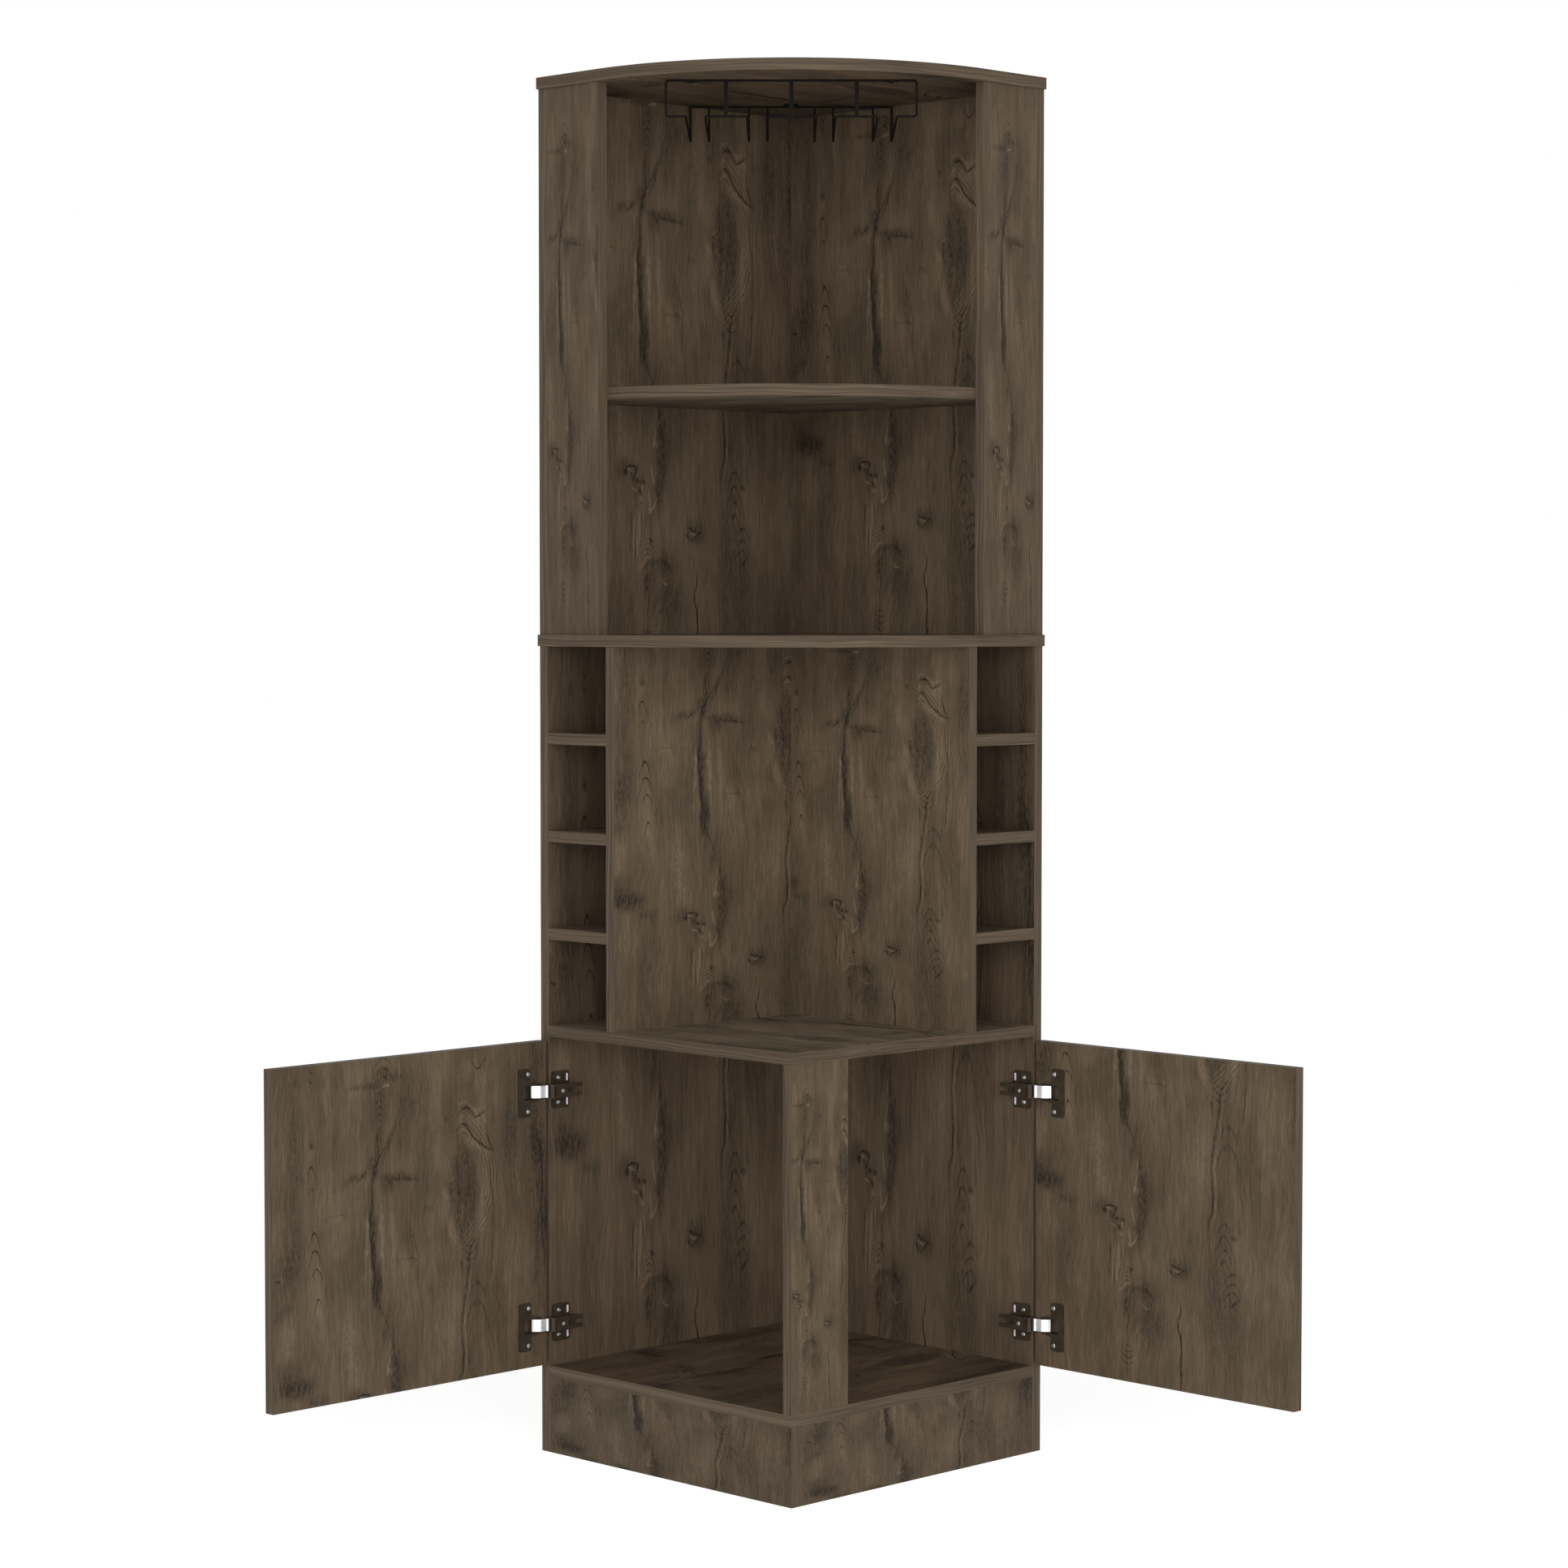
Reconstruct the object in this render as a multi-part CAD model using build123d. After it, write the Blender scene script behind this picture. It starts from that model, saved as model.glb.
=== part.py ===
from build123d import *
import os

# Corner bar cabinet, in millimetres.
# The frame's origin is the room's corner at floor level. The left wall board lies along
# X = 0 and the right wall board along Y = 0, so the cabinet fills X > 0, Y < 0, Z > 0.
# Left pieces are drawn in place and right pieces are their mirror image in the diagonal.

# Carcass
HEIGHT = 1800.0
BOARD = 15.0
WALL_DEPTH = 465.0
OVERHANG = 4.0
STILE_WIDTH = 100.0
FRONT_RADIUS = WALL_DEPTH - BOARD - STILE_WIDTH
SHELF_RADIUS = FRONT_RADIUS - BOARD

# Heights of the levels, from the floor up
PLINTH_HEIGHT = 100.0
COUNTER_UNDERSIDE = 550.0
CUBBY_WIDTH = 112.3
CUBBY_HEIGHT = 113.0
CUBBIES_PER_SIDE = 4
UPPER_SHELF_UNDERSIDE = 1380.0
POST_WIDTH = 100.0

# Doors, stored open at a right angle to the front they close
DOOR_BOTTOM = 117.0
DOOR_TOP = 545.0
LEFT_DOOR_WIDTH = 450.0
RIGHT_DOOR_WIDTH = 425.0
DOOR_EDGE_GAP = 4.5
HINGE_HEIGHTS = {"upper": 479.0, "lower": 171.0}

# Concealed hinge. U runs inwards from the wall board's outer face, V outwards from its
# front edge and W up from the hinge's own centre, with the door open.
LINK_PIVOT = (20.0, 8.0)
LINK_TIP = (12.0, 27.0)
LINK_BEND = (19.3, 19.0)
LINK_HALF_WIDTH = 8.0
LINK_THICKNESS = 1.4
SHEET = 0.9
ARM_HALF_WIDTH = 9.1
ARM_TAIL_HALF_WIDTH = 8.2
ARM_WEB = 28.0
ARM_WEB_THICKNESS = 1.2
ARM_FRONT = 3.0
ARM_TAIL = -46.8
ARM_STEP = -21.0
ARM_SCREW_V = -12.6
KNUCKLE_RADIUS = 2.7
HINGE_PIN_RADIUS = 1.5
PLATE_THICKNESS = 2.0
PLATE_FRONT = -4.0
PLATE_BACK = -34.0
PLATE_HALF_HEIGHT = 24.5
PLATE_SCREW_V = -14.6
PLATE_SLOT_V = -30.3
PLATE_HOLE_W = 16.0
CUP_DEPTH = 11.5
CUP_NEAR = 15.0
CUP_FAR = 44.6
CUP_HALF_WIDTH = 9.5
FLANGE_THICKNESS = 1.2
FLANGE_NEAR = 32.3
FLANGE_FAR = 54.0
FLANGE_HALF_HEIGHT = 31.7
CUP_SCREW_V = 37.2
CUP_SCREW_W = 24.6

# Stemware rack, hung under the top panel square to the diagonal. L runs along the
# rack's front, D out from the room's corner.
WIRE_RADIUS = 1.5
RACK_FRONT = 425.5
RACK_BACK = 165.0
RACK_HALF_WIDTH = 160.0
RACK_DROP = 45.5
SLOT_CENTRES = (44.0, 122.5)
SLOT_PITCH = 25.0
HANGERS = (-83.5, 0.0, 83.5)
WIRE_BEND = 4.0
TAB_WIDTH = 18.5
FRONT_TAB_CENTRE = 128.0
FRONT_TAB_DEPTH = 19.0
BACK_TAB_DEPTH = 27.0
TAB_THICKNESS = 1.5

# Fasteners
FIT = 0.05
SCREW_LENGTH = 50.0
SCREW_HEAD_RADIUS = 4.9
SCREW_HEAD_RECESS = 0.5
SCREW_HEAD_HEIGHT = 3.0
SCREW_COLLAR_RADIUS = 3.5
SCREW_COLLAR_END = 14.0
SCREW_THREAD_RADIUS = 3.1
SOCKET_WIDTH = 4.0
DOWEL_RADIUS = 4.0
DOWEL_IN_FACE = 10.0
DOWEL_IN_EDGE = 20.0
CAM_RADIUS = 7.5
CAM_DEPTH = 12.5
CAM_SETBACK = 34.0
BOLT_RADIUS = 3.4
BOLT_HEAD_RADIUS = 3.2
BOLT_NECK_RADIUS = 2.0
BOLT_THREAD_RADIUS = 3.0

# Worked out from the dimensions above
BOTTOM_TOP = PLINTH_HEIGHT + BOARD
COUNTER_TOP = COUNTER_UNDERSIDE + BOARD
CUBBY_PITCH = CUBBY_HEIGHT + BOARD
MIDDLE_UNDERSIDE = COUNTER_TOP + CUBBIES_PER_SIDE * CUBBY_HEIGHT + (CUBBIES_PER_SIDE - 1) * BOARD
MIDDLE_TOP = MIDDLE_UNDERSIDE + BOARD
TOP_UNDERSIDE = HEIGHT - BOARD
DIVIDER_OUTER = BOARD + CUBBY_WIDTH
DIVIDER_INNER = DIVIDER_OUTER + BOARD
CUBBY_SHELF_HEIGHTS = [COUNTER_TOP + n * CUBBY_PITCH - BOARD for n in range(1, CUBBIES_PER_SIDE)]
DIAGONAL = Plane(origin=(0, 0, 0), z_dir=(1, 1, 0))
MID = BOARD / 2
X, Y, Z = Vector(1, 0, 0), Vector(0, 1, 0), Vector(0, 0, 1)


def block(low, high):
    """A box between two corners."""
    size = [h - l for l, h in zip(low, high)]
    corner = Align.MIN
    return Pos(*low) * Box(*size, align=(corner, corner, corner))


def rod(start, direction, length, radius):
    """A round bar that runs from a point along a direction."""
    plane = Plane(origin=start, z_dir=direction)
    return plane * Cylinder(radius, length, align=(Align.CENTER, Align.CENTER, Align.MIN))


def mirrored(shape):
    """The same piece on the other side of the cabinet's diagonal."""
    return mirror(shape, about=DIAGONAL)


def meets(a, b):
    """True where the bounding boxes of two shapes overlap."""
    first, second = a.bounding_box(), b.bounding_box()
    return all(
        getattr(first.min, k) < getattr(second.max, k) and getattr(second.min, k) < getattr(first.max, k)
        for k in "XYZ"
    )


# Fasteners


def wall_screw(place, direction):
    """A panel screw with a flat round head just under the surface and a hexagon socket."""
    start = place + direction * SCREW_HEAD_RECESS
    collar = place + direction * (SCREW_HEAD_RECESS + SCREW_HEAD_HEIGHT)
    point = SCREW_LENGTH - 3.0
    screw = rod(start, direction, SCREW_HEAD_HEIGHT, SCREW_HEAD_RADIUS)
    screw += rod(collar, direction, SCREW_COLLAR_END - 3.5, SCREW_COLLAR_RADIUS - FIT)
    thread = place + direction * SCREW_COLLAR_END
    screw += rod(thread, direction, point - SCREW_COLLAR_END, SCREW_THREAD_RADIUS)
    tip = Plane(origin=place + direction * point, z_dir=direction)
    screw += tip * Cone(SCREW_THREAD_RADIUS, 1.0, 3.0, align=(Align.CENTER, Align.CENTER, Align.MIN))
    socket = Plane(origin=start, z_dir=direction) * RegularPolygon(SOCKET_WIDTH / 2, 6, major_radius=False)
    return screw - extrude(socket, amount=2.0, dir=tuple(direction))


def wall_screw_hole(place, direction):
    """The stepped hole that a panel screw sits in."""
    hole = rod(place, direction, SCREW_HEAD_RECESS + SCREW_HEAD_HEIGHT, SCREW_HEAD_RADIUS + 0.1)
    hole += rod(place, direction, SCREW_COLLAR_END, SCREW_COLLAR_RADIUS)
    return hole + rod(place, direction, SCREW_LENGTH + 0.5, SCREW_THREAD_RADIUS + FIT)


def dowel(place, direction):
    """A dowel that stands in a face at its foot and in an edge at its other end."""
    pin = rod(place - direction * DOWEL_IN_FACE, direction, DOWEL_IN_FACE + DOWEL_IN_EDGE, DOWEL_RADIUS)
    return chamfer(pin.edges().filter_by(GeomType.CIRCLE), 1.0)


def dowel_hole(place, direction):
    """The two holes that a dowel sits in."""
    length = DOWEL_IN_FACE + DOWEL_IN_EDGE + 0.5
    return rod(place - direction * DOWEL_IN_FACE, direction, length, DOWEL_RADIUS + FIT)


def cam_disc(place, towards, outwards):
    """A cam housing set in a wall's outer face, with the slot that takes the bolt's head."""
    centre = place + towards * CAM_SETBACK
    disc = rod(centre - outwards * CAM_DEPTH, outwards, CAM_DEPTH, CAM_RADIUS)
    middle = centre - outwards * MID
    disc -= rod(middle, -towards, CAM_RADIUS + 1.0, BOLT_RADIUS + 0.2)
    disc -= Pos(*middle) * Sphere(BOLT_RADIUS + 0.2)
    cross = extrude(Plane(origin=centre, z_dir=-outwards) * Rectangle(6.0, 1.2), amount=2.0)
    cross += extrude(Plane(origin=centre, z_dir=-outwards) * Rectangle(1.2, 6.0), amount=2.0)
    return disc - cross


def cam_hole(place, towards, outwards):
    """The cam's pocket in the wall and the bolt's bore in the wall's edge and in the panel."""
    centre = place + towards * CAM_SETBACK
    hole = rod(centre - outwards * CAM_DEPTH, outwards, CAM_DEPTH, CAM_RADIUS + FIT)
    line = place - outwards * MID
    hole += rod(line, towards, CAM_SETBACK, BOLT_RADIUS + 0.1)
    return hole + rod(line, -towards, DOWEL_IN_FACE, BOLT_THREAD_RADIUS + FIT)


def cam_bolt(place, towards, outwards):
    """The bolt that a cam draws in: threaded in the panel, with a neck and a head in the cam."""
    line = place - outwards * MID
    neck_start = CAM_SETBACK - 5.0
    bolt = rod(line - towards * DOWEL_IN_FACE, towards, DOWEL_IN_FACE, BOLT_THREAD_RADIUS)
    bolt += rod(line, towards, neck_start, BOLT_RADIUS)
    bolt += rod(line + towards * neck_start, towards, 3.0, BOLT_NECK_RADIUS)
    return bolt + rod(line + towards * (neck_start + 3.0), towards, 2.0, BOLT_HEAD_RADIUS)


def left_screw_places():
    """Where panel screws enter the left walls' outer face, as (Y, Z)."""
    edge = -(WALL_DEPTH - MID)
    places = [(y, z + MID) for z in (PLINTH_HEIGHT, COUNTER_UNDERSIDE) for y in (-100.0, -400.0)]
    places += [(y, z + MID) for z in CUBBY_SHELF_HEIGHTS for y in (-180.0, -420.0)]
    places += [(y, UPPER_SHELF_UNDERSIDE + MID) for y in (-100.0, -400.0)]
    return places + [(edge, z) for z in (25.0, 75.0, 1150.0, 1430.0, 1710.0)]


def corner_screw_places():
    """Where panel screws join the left walls to the right walls' edges, as (Y, Z)."""
    return [(-MID, z) for z in (60.0, 330.0, 620.0, 1000.0, 1135.0, 1430.0, 1735.0)]


def on_left_wall(places):
    """Points on the left walls' outer face with the direction into the cabinet."""
    return [(Vector(0, y, z), X) for y, z in places]


def on_right_wall(places):
    """The same points on the right walls."""
    return [(Vector(-y, 0, z), -Y) for y, z in places]


def inner_screw_places():
    """Screws inside: down through the middle panel, and through one divider into the other."""
    down = [Vector(MID, y, MIDDLE_TOP) for y in (-90.0, -370.0)]
    down += [Vector(-y, -MID, MIDDLE_TOP) for y in (-90.0, -370.0)]
    across = [Vector(DIVIDER_OUTER, -DIVIDER_OUTER - MID, z) for z in (620.0, 1000.0)]
    return [(place, -Z) for place in down] + [(place, X) for place in across]


def both_sides(places):
    """A list of (point, direction) and its mirror image in the diagonal."""
    swapped = [(Vector(-p.Y, -p.X, p.Z), Vector(-d.Y, -d.X, d.Z)) for p, d in places]
    return places + swapped


def lower_dowel_places():
    """Dowels of the plinth, the post and the feet of the dividers."""
    edge = WALL_DEPTH - MID
    middle = DIVIDER_OUTER + MID
    plinth = both_sides([(Vector(x, -edge, PLINTH_HEIGHT), -Z) for x in (120.0, 340.0)])
    corner = [(Vector(edge, -WALL_DEPTH + BOARD, z), Y) for z in (30.0, 70.0)]
    post = [(Vector(edge, y, BOTTOM_TOP), Z) for y in (-440.0, -390.0)]
    post += [(Vector(edge, y, COUNTER_UNDERSIDE), -Z) for y in (-440.0, -390.0)]
    feet = both_sides([(Vector(middle, y, COUNTER_TOP), Z) for y in (-430.0, -180.0)])
    return plinth + corner + post + feet


def shelf_dowel_places():
    """Dowels between each bottle shelf and its divider."""
    spots = [(y, z + MID) for z in CUBBY_SHELF_HEIGHTS for y in (-380.0, -220.0)]
    return both_sides([(Vector(DIVIDER_OUTER, y, z), -X) for y, z in spots])


def upper_dowel_places():
    """Dowels of the dividers' heads, the upper walls and the stiles."""
    edge = WALL_DEPTH - MID
    heads = [(Vector(DIVIDER_OUTER + MID, y, MIDDLE_UNDERSIDE), -Z) for y in (-430.0, -180.0)]
    feet = [(Vector(MID, y, MIDDLE_TOP), Z) for y in (-120.0, -340.0)]
    feet += [(Vector(x, -edge, MIDDLE_TOP), Z) for x in (40.0, 90.0)]
    tops = [(Vector(p.X, p.Y, TOP_UNDERSIDE), -Z) for p, _ in feet]
    return both_sides(heads + feet + tops)


def cam_places():
    """Cams at the upper walls' feet and heads: point on the outer face, way into the wall, way out."""
    left = [(Vector(0, y, MIDDLE_TOP), Z, -X) for y in (-60.0, -400.0)]
    left += [(Vector(0, y, TOP_UNDERSIDE), -Z, -X) for y in (-60.0, -400.0)]
    return left + [(Vector(-p.Y, 0, p.Z), way, Y) for p, way, _ in left]


# Boards


def rounded_plate(side, radius, low, high):
    """A square plate in the corner, with its front corner rounded off."""
    plate = block((0, -side, low), (side, 0, high))
    front = plate.edges().filter_by(Axis.Z).sort_by(Axis((0, 0, 0), (1, -1, 0)))[-1]
    return fillet(front, radius)


def upper_shelf():
    """The shelf between the upper walls, which starts behind the stiles and curves from there."""
    low, high = UPPER_SHELF_UNDERSIDE, UPPER_SHELF_UNDERSIDE + BOARD
    inner = WALL_DEPTH - BOARD
    plate = rounded_plate(inner, SHELF_RADIUS, low, high)
    return plate & block((BOARD, -inner, low), (inner, -BOARD, high))


def carcass():
    """Every fixed board, by name."""
    d, t, inner = WALL_DEPTH, BOARD, WALL_DEPTH - BOARD
    near, far = DIVIDER_OUTER, DIVIDER_INNER
    low, high = COUNTER_TOP, MIDDLE_UNDERSIDE
    stile = block((t, -d, MIDDLE_TOP), (t + STILE_WIDTH, -inner, TOP_UNDERSIDE))
    boards = {
        "lower_left_wall": block((0, -d, 0), (t, 0, MIDDLE_UNDERSIDE)),
        "lower_right_wall": block((t, -t, 0), (d, 0, MIDDLE_UNDERSIDE)),
        "upper_left_wall": block((0, -d, MIDDLE_TOP), (t, 0, TOP_UNDERSIDE)),
        "upper_right_wall": block((t, -t, MIDDLE_TOP), (d, 0, TOP_UNDERSIDE)),
        "left_plinth": block((t, -d, 0), (d, -inner, PLINTH_HEIGHT)),
        "right_plinth": block((inner, -inner, 0), (d, -t, PLINTH_HEIGHT)),
        "bottom_panel": block((t, -d, PLINTH_HEIGHT), (d, -t, BOTTOM_TOP)),
        "corner_post": block((inner, -d, BOTTOM_TOP), (d, -d + POST_WIDTH, COUNTER_UNDERSIDE)),
        "counter": block((t, -d, COUNTER_UNDERSIDE), (d, -t, COUNTER_TOP)),
        "left_divider": block((near, -d, low), (far, -near, high)),
        "right_divider": block((far, -far, low), (d, -near, high)),
        "middle_panel": rounded_plate(d + OVERHANG, FRONT_RADIUS, MIDDLE_UNDERSIDE, MIDDLE_TOP),
        "upper_shelf": upper_shelf(),
        "left_stile": stile,
        "right_stile": mirrored(stile),
        "top_panel": rounded_plate(d + OVERHANG, FRONT_RADIUS, TOP_UNDERSIDE, HEIGHT),
    }
    for number, low in enumerate(CUBBY_SHELF_HEIGHTS, 1):
        shelf = block((t, -d, low), (near, -near, low + t))
        boards[f"left_bottle_shelf_{number}"] = shelf
        boards[f"right_bottle_shelf_{number}"] = mirrored(shelf)
    return boards


# Doors and hinges, drawn for the left side with the door open


def at_hinge(u, v, w=0.0, height=0.0):
    """The cabinet's coordinates of a point given in a left hinge's U, V and W."""
    return Vector(u, -WALL_DEPTH - v, height + w)


def hinge_block(u, v, w, height):
    """A box given by its spans along U, V and W."""
    return block(
        (u[0], -WALL_DEPTH - v[1], height + w[0]),
        (u[1], -WALL_DEPTH - v[0], height + w[1]),
    )


def rounded(shape, axis, radius):
    """The same box with its four edges along an axis rounded."""
    return fillet(shape.edges().filter_by(axis), radius)


def cup_pocket(height, grow):
    """The space of the hinge's cup in the door, larger by grow on each side."""
    pocket = hinge_block(
        (BOARD - CUP_DEPTH - FIT, BOARD + 5.0),
        (CUP_NEAR - grow, CUP_FAR + grow),
        (-CUP_HALF_WIDTH - grow, CUP_HALF_WIDTH + grow),
        height,
    )
    return rounded(pocket, Axis.X, 2.0 + grow)


def cup_screw_place(height, side):
    """Where a cup screw meets the door's inner face."""
    return at_hinge(BOARD, CUP_SCREW_V, side * CUP_SCREW_W, height)


def plate_screw_place(height, side):
    """Where a mounting plate's screw meets the wall's inner face."""
    return at_hinge(BOARD, PLATE_SCREW_V, side * PLATE_HOLE_W, height)


def small_screw(place, plate_thickness):
    """A pan-head wood screw along -X, its head on a plate that lies on the board at place."""
    head = place + X * plate_thickness
    screw = rod(head, X, 1.6, 3.2)
    screw = fillet(screw.edges().sort_by(Axis.X)[-1], 1.1)
    screw += rod(head, -X, plate_thickness + 10.5, 1.75)
    tip = Plane(origin=place - X * 10.5, z_dir=-X)
    screw += tip * Cone(1.75, 0.3, 1.5, align=(Align.CENTER, Align.CENTER, Align.MIN))
    recess = Plane(origin=head + X * 0.8, z_dir=X)
    screw -= extrude(recess * Rectangle(3.2, 0.8), amount=1.5)
    return screw - extrude(recess * Rectangle(0.8, 3.2), amount=1.5)


def small_screw_hole(place):
    """The pilot hole of a small wood screw."""
    return rod(place, -X, 12.2, 1.75 + FIT)


def door(width):
    """A door, open, with the pockets and pilot holes of its two hinges."""
    start = -WALL_DEPTH - DOOR_EDGE_GAP
    board = block((0, start - width, DOOR_BOTTOM), (BOARD, start, DOOR_TOP))
    for height in HINGE_HEIGHTS.values():
        board -= cup_pocket(height, SHEET + FIT)
        for side in (-1, 1):
            board -= small_screw_hole(cup_screw_place(height, side))
    return board


def hinge_cup(height):
    """The cup with its screw flange, open towards the door's hinge edge."""
    face = BOARD
    w = FLANGE_HALF_HEIGHT
    flange = hinge_block((face, face + FLANGE_THICKNESS), (FLANGE_NEAR, FLANGE_FAR), (-w, w), height)
    flange = rounded(flange, Axis.X, 3.5)
    outline = [(FLANGE_NEAR + 1.0, 14.4), (FLANGE_NEAR, 14.0), (21.8, 11.6), (CUP_NEAR - SHEET, 10.4)]
    corners = [at_hinge(face, v, w, height) for v, w in outline]
    corners += [at_hinge(face, v, -w, height) for v, w in reversed(outline)]
    neck = extrude(make_face(Polyline(*corners, close=True)), amount=FLANGE_THICKNESS, dir=tuple(X))
    well = cup_pocket(height, SHEET) & block((BOARD - CUP_DEPTH, -1000, 0), (face, 0, 1000))
    cup = flange + neck + well - cup_pocket(height, 0.0)
    cup -= hinge_block((face, face + 5.0), (0.0, CUP_FAR - 5.0), (-CUP_HALF_WIDTH, CUP_HALF_WIDTH), height)
    for side in (-1, 1):
        cup -= rod(cup_screw_place(height, side), X, 5.0, 2.0)
    return cup


def hinge_link(height):
    """The bright link: an eye on the arm's pin and a cranked strip that dips into the cup."""
    path = [at_hinge(u, v) for u, v in (LINK_PIVOT, LINK_BEND, LINK_TIP)]
    line = FilletPolyline(*path, radius=3.0)
    strip = extrude(trace(line, LINK_THICKNESS), amount=LINK_HALF_WIDTH, dir=(0, 0, 1), both=True)
    ends = rod(path[0] - Z * LINK_HALF_WIDTH, Z, 2 * LINK_HALF_WIDTH, HINGE_PIN_RADIUS + 1.0)
    ends += rod(path[-1] - Z * LINK_HALF_WIDTH, Z, 2 * LINK_HALF_WIDTH, 1.5)
    link = strip + ends - rod(path[0] - Z * 20.0, Z, 40.0, HINGE_PIN_RADIUS + FIT)
    return Pos(0, 0, height) * link


def arm_profile():
    """The arm's side outline as a face: web above, rounded ear for the pin in front, tail behind."""
    u, v = LINK_PIVOT
    top = ARM_WEB + ARM_WEB_THICKNESS
    ear = [at_hinge(u + KNUCKLE_RADIUS, v), at_hinge(u, v + KNUCKLE_RADIUS), at_hinge(u - KNUCKLE_RADIUS, v)]
    corners = [
        ear[2],
        at_hinge(u - KNUCKLE_RADIUS, ARM_TAIL + 14.0),
        at_hinge(ARM_WEB, ARM_TAIL + 4.0),
        at_hinge(ARM_WEB, ARM_TAIL),
        at_hinge(top, ARM_TAIL),
        at_hinge(top, ARM_FRONT),
        at_hinge(top - 3.1, ARM_FRONT + 2.6),
        ear[0],
    ]
    return make_face([*Polyline(*corners).edges(), ThreePointArc(*ear)])


def arm_hollow(half_width, v_low, height):
    """The space under the web and behind the front edge, where that edge turns down to the link."""
    front = ARM_FRONT - 0.6
    corners = [(5.0, v_low), (5.0, 20.0), (ARM_WEB - 2.6, 20.0), (ARM_WEB - 2.6, front + 2.3)]
    corners += [(ARM_WEB, front), (ARM_WEB, v_low)]
    face = make_face(Polyline(*[at_hinge(u, v, 0, height) for u, v in corners], close=True))
    return extrude(face, amount=half_width, dir=(0, 0, 1), both=True)


def hinge_arm(height):
    """The pressed arm: a channel open towards the wall, narrower and forked at its tail."""
    wide, narrow = ARM_HALF_WIDTH, ARM_TAIL_HALF_WIDTH
    arm = Pos(0, 0, height) * extrude(arm_profile(), amount=wide, dir=(0, 0, 1), both=True)
    for side in ((-20.0, -narrow), (narrow, 20.0)):
        arm -= hinge_block((0, 100), (ARM_TAIL - 1.0, ARM_STEP), side, height)
    arm -= arm_hollow(narrow - SHEET, ARM_TAIL - 5.0, height)
    arm -= arm_hollow(wide - SHEET, ARM_STEP + SHEET, height)
    arm -= rod(at_hinge(*LINK_PIVOT, -20.0, height), Z, 40.0, HINGE_PIN_RADIUS + 0.02)
    arm -= hinge_block((0, 100), (ARM_TAIL - 1.0, -33.4), (-2.85, 2.85), height)
    arm -= hinge_block((0, 100), (-30.8, -21.6), (-3.2, 3.2), height)
    arm -= hinge_block((ARM_WEB - 1.0, 100), (-0.4, 1.4), (-6.8, 6.8), height)
    arm -= rod(at_hinge(0, ARM_SCREW_V, 0, height), X, 100.0, 2.05)
    return arm


def hinge_plate(height):
    """The mounting plate with two screw holes, two slots and the tongue that carries the arm."""
    face = BOARD + PLATE_THICKNESS
    h = PLATE_HALF_HEIGHT
    plate = hinge_block((BOARD, face), (PLATE_BACK, PLATE_FRONT), (-h, h), height)
    plate = rounded(plate, Axis.X, 4.0)
    plate += hinge_block((face, ARM_WEB), (-19.5, -7.0), (-6.5, 6.5), height)
    for side in (-1, 1):
        plate -= rod(plate_screw_place(height, side), X, 5.0, 2.0)
        slot = hinge_block((BOARD, face), (PLATE_SLOT_V - 1.8, PLATE_SLOT_V + 1.8), (-5.3, 5.3), height)
        plate -= Pos(0, 0, side * PLATE_HOLE_W) * rounded(slot, Axis.X, 1.79)
    return plate - rod(at_hinge(BOARD + 4.0, ARM_SCREW_V, 0, height), X, 20.0, 2.05)


def arm_screw(height):
    """The screw that clamps the arm on the plate's tongue."""
    seat = at_hinge(ARM_WEB + ARM_WEB_THICKNESS, ARM_SCREW_V, 0, height)
    screw = rod(seat, X, 1.5, 2.9)
    screw = fillet(screw.edges().sort_by(Axis.X)[-1], 0.8)
    screw += rod(seat, -X, 9.0, 2.0)
    cross = extrude(Plane(origin=seat + X * 0.7, z_dir=X) * Rectangle(3.4, 0.9), amount=1.5)
    return screw - cross


def hinge_pin(height):
    """The pin that carries the link in the arm."""
    pin = rod(at_hinge(*LINK_PIVOT, -ARM_HALF_WIDTH, height), Z, 2 * ARM_HALF_WIDTH, HINGE_PIN_RADIUS)
    return chamfer(pin.edges().filter_by(GeomType.CIRCLE), 0.2)


def group(shapes):
    """Separate solids kept together as one node."""
    return Compound(children=[solid for shape in shapes for solid in shape.solids()])


def hinge_spots():
    """Every hinge height with each side of its centre."""
    return [(height, side) for height in HINGE_HEIGHTS.values() for side in (-1, 1)]


def left_hinges():
    """The left side's hinge pieces and cup screws, by name."""
    pieces = {}
    for level, height in HINGE_HEIGHTS.items():
        pieces[f"{level}_hinge_cup"] = hinge_cup(height)
        pieces[f"{level}_hinge_link"] = hinge_link(height)
        pieces[f"{level}_hinge_arm"] = hinge_arm(height)
        pieces[f"{level}_hinge_plate"] = hinge_plate(height)
    pieces["cup_screws"] = group([small_screw(cup_screw_place(*s), FLANGE_THICKNESS) for s in hinge_spots()])
    return pieces


def hinge_fasteners():
    """The screws and pins of all four hinges that stay with the carcass, by name."""
    heights = HINGE_HEIGHTS.values()
    left = {
        "plate_screws": [small_screw(plate_screw_place(*s), PLATE_THICKNESS) for s in hinge_spots()],
        "arm_screws": [arm_screw(height) for height in heights],
        "hinge_pins": [hinge_pin(height) for height in heights],
    }
    return {name: group(items + [mirrored(item) for item in items]) for name, items in left.items()}


# Stemware rack, drawn with L along X and D along -Y, then turned into the corner


def rack_point(l, d, z):
    """A point of the rack before it is turned."""
    return Vector(l, -d, z)


def bent_wire(points):
    """A round wire bent along straight runs."""
    path = FilletPolyline(*points, radius=WIRE_BEND)
    end = Plane(origin=path @ 0, z_dir=path % 0)
    return sweep(end * Circle(WIRE_RADIUS), path=path)


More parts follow.
